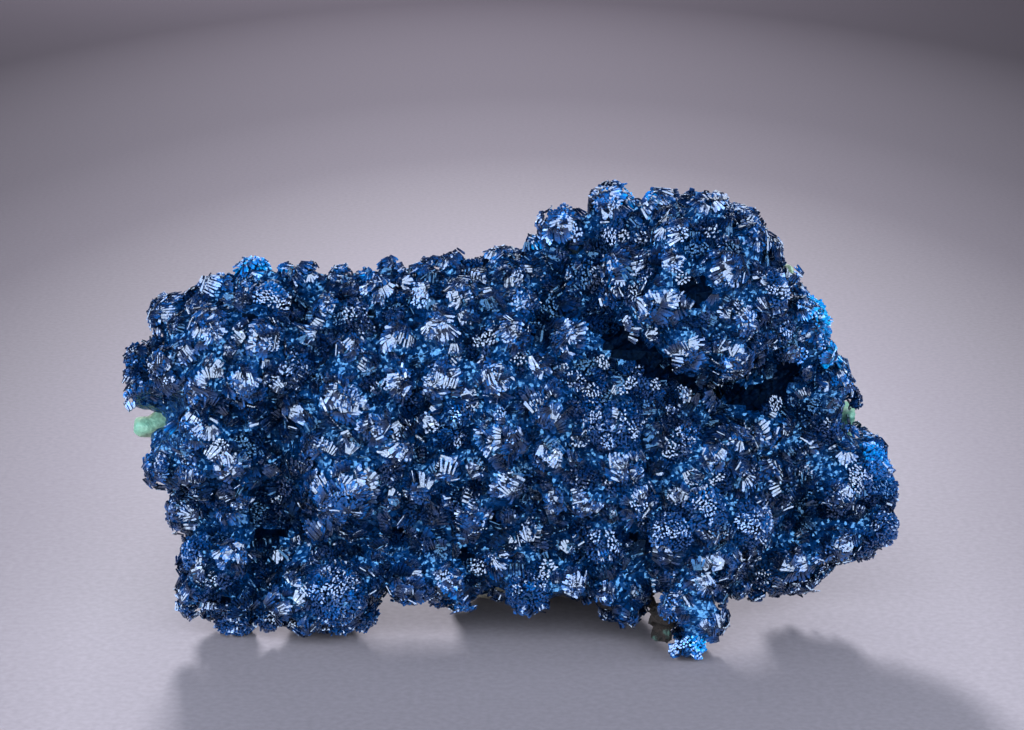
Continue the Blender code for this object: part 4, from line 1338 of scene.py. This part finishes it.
def rock_finish():
    finish = Finish("Weathered iron-rich rock")
    zones = finish.cloud(150.0, 5.0, 0.62)
    grit = finish.cloud(1900.0, 6.0)["Fac"]
    colour = finish.mix(finish.ramp(zones["Fac"], ROCK_COLOURS), finish.ramp(grit, GRIT))
    colour = finish.mix(colour, SPUR_DARK, finish.near(SPUR_MIDDLE, *SPUR_REACH))
    stained = finish.ramp(finish.cloud(260.0, 4.0)["Fac"], STAINS)
    colour = finish.mix(colour, COPPER_GREEN, stained, "MIX")
    # Painted light from the floor at the bottom edge.
    colour = finish.mix(colour, FLOOR_BOUNCE_PAINT, finish.near(FLOOR_BOUNCE_MIDDLE, *FLOOR_BOUNCE_REACH), "MIX")
    cracks = finish.node("ShaderNodeTexVoronoi", feature="DISTANCE_TO_EDGE")
    bent = finish.vector("MULTIPLY_ADD", zones["Color"], CRACK_BEND, finish.place)["Vector"]
    finish.put(cracks.inputs["Vector"], bent)
    finish.put(cracks.inputs["Scale"], CRACKS_PER_M)
    groove = finish.ramp(cracks.outputs["Distance"], CRACKS)
    colour = finish.mix(colour, groove, CRACK_SHARE)
    relief = finish.bump(grit, 1.0, 0.0005, finish.bump(groove, 0.9, 0.0003))
    return finish.finished(Base_Color=colour, Normal=relief, Roughness=0.85)


rock = shaped(rock_even, "weathered_rock", rock_points, rock_finish())
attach(rock, "root")
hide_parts("rock_matrix")

# %% [markdown]
# ## The pale green layer
# A thin skin of tiny grape-like bumps lies between the rock and the blue crystals. It shows at the edges
# and in a few nooks. Rounded cells pushed outwards give the bumps. Where blades were left out to bare it,
# the skin comes forward a little, and in the pits it draws back so that they stay dark. It is smooth-shaded,
# unlike the crystals, because real bumps of this kind have no edges.

# %% Shape of the green layer
GREEN_VOXEL = 0.40
BUMP_SIZE = 1.0
BUMP_HEIGHT = 0.36
CELL_REACH = 0.7
SKIN_WAVES = 0.35
BACK_IN_PITS = 1.8
FORWARD_IN_BARE = 0.7
QUICK_EDGE = 3.0
SKIN_FACING = 0.2
SKIN_LOWEST = 0.05


def grape_bumps(points):
    """Round bumps, high at the cells' middles and low where two cells meet."""
    near = np.array([noise.voronoi(Vector(point) / BUMP_SIZE)[0][0] for point in points])
    return BUMP_HEIGHT * (1.0 - np.clip(near / CELL_REACH, 0.0, 1.0) ** 2)


skin_even = remeshed("hemimorphite_layer", GREEN_VOXEL)
skin_points, normals = mesh_arrays(skin_even)
rise = grape_bumps(skin_points) - 0.5 * BUMP_HEIGHT + SKIN_WAVES * waves(skin_points, 2.6, 3, 5)
skin_points = skin_points + normals * rise[:, None]
back = BACK_IN_PITS * np.clip(within(skin_points, PITS) * QUICK_EDGE, 0.0, 1.0)
forward = FORWARD_IN_BARE * np.clip(within(skin_points, BARE) * QUICK_EDGE, 0.0, 1.0)
facing = normals @ VIEW_AHEAD < SKIN_FACING
skin_points = skin_points + ((back - forward) * facing)[:, None] * VIEW_AHEAD
skin_points[:, 2] = np.maximum(skin_points[:, 2], SKIN_LOWEST)
print("bumps, mm", np.percentile(rise, (5, 50, 95)).round(2))

# %% [markdown]
# ## The green layer's finish
# Its colour wanders from turquoise through mint to cream, with a few brown places where the rock has
# stained it. A broad noise does that, and a fine one adds a powdery grain. Half rough, it is neither
# polished nor chalky.

# %% The green layer's finish
GREEN_COLOURS = [
    (0.26, (0.050, 0.250, 0.290)),
    (0.40, (0.115, 0.300, 0.235)),
    (0.50, (0.215, 0.400, 0.290)),
    (0.58, (0.330, 0.430, 0.290)),
    (0.66, (0.400, 0.400, 0.290)),
    (0.76, (0.230, 0.180, 0.110)),
]
POWDER = [(0.3, (0.72, 0.74, 0.74)), (0.7, (1.08, 1.06, 1.05))]


def green_finish():
    finish = Finish("Pale green skin")
    colour = finish.ramp(finish.cloud(170.0, 3.0)["Fac"], GREEN_COLOURS)
    powder = finish.cloud(2400.0, 3.0)["Fac"]
    relief = finish.bump(powder, 0.8, 0.00025)
    return finish.finished(
        Base_Color=finish.mix(colour, finish.ramp(powder, POWDER)), Normal=relief, Roughness=0.5,
    )


skin = shaped(skin_even, "green_skin", skin_points, green_finish())
skin.data.shade_smooth()
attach(skin, "root")
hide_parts("hemimorphite_layer")
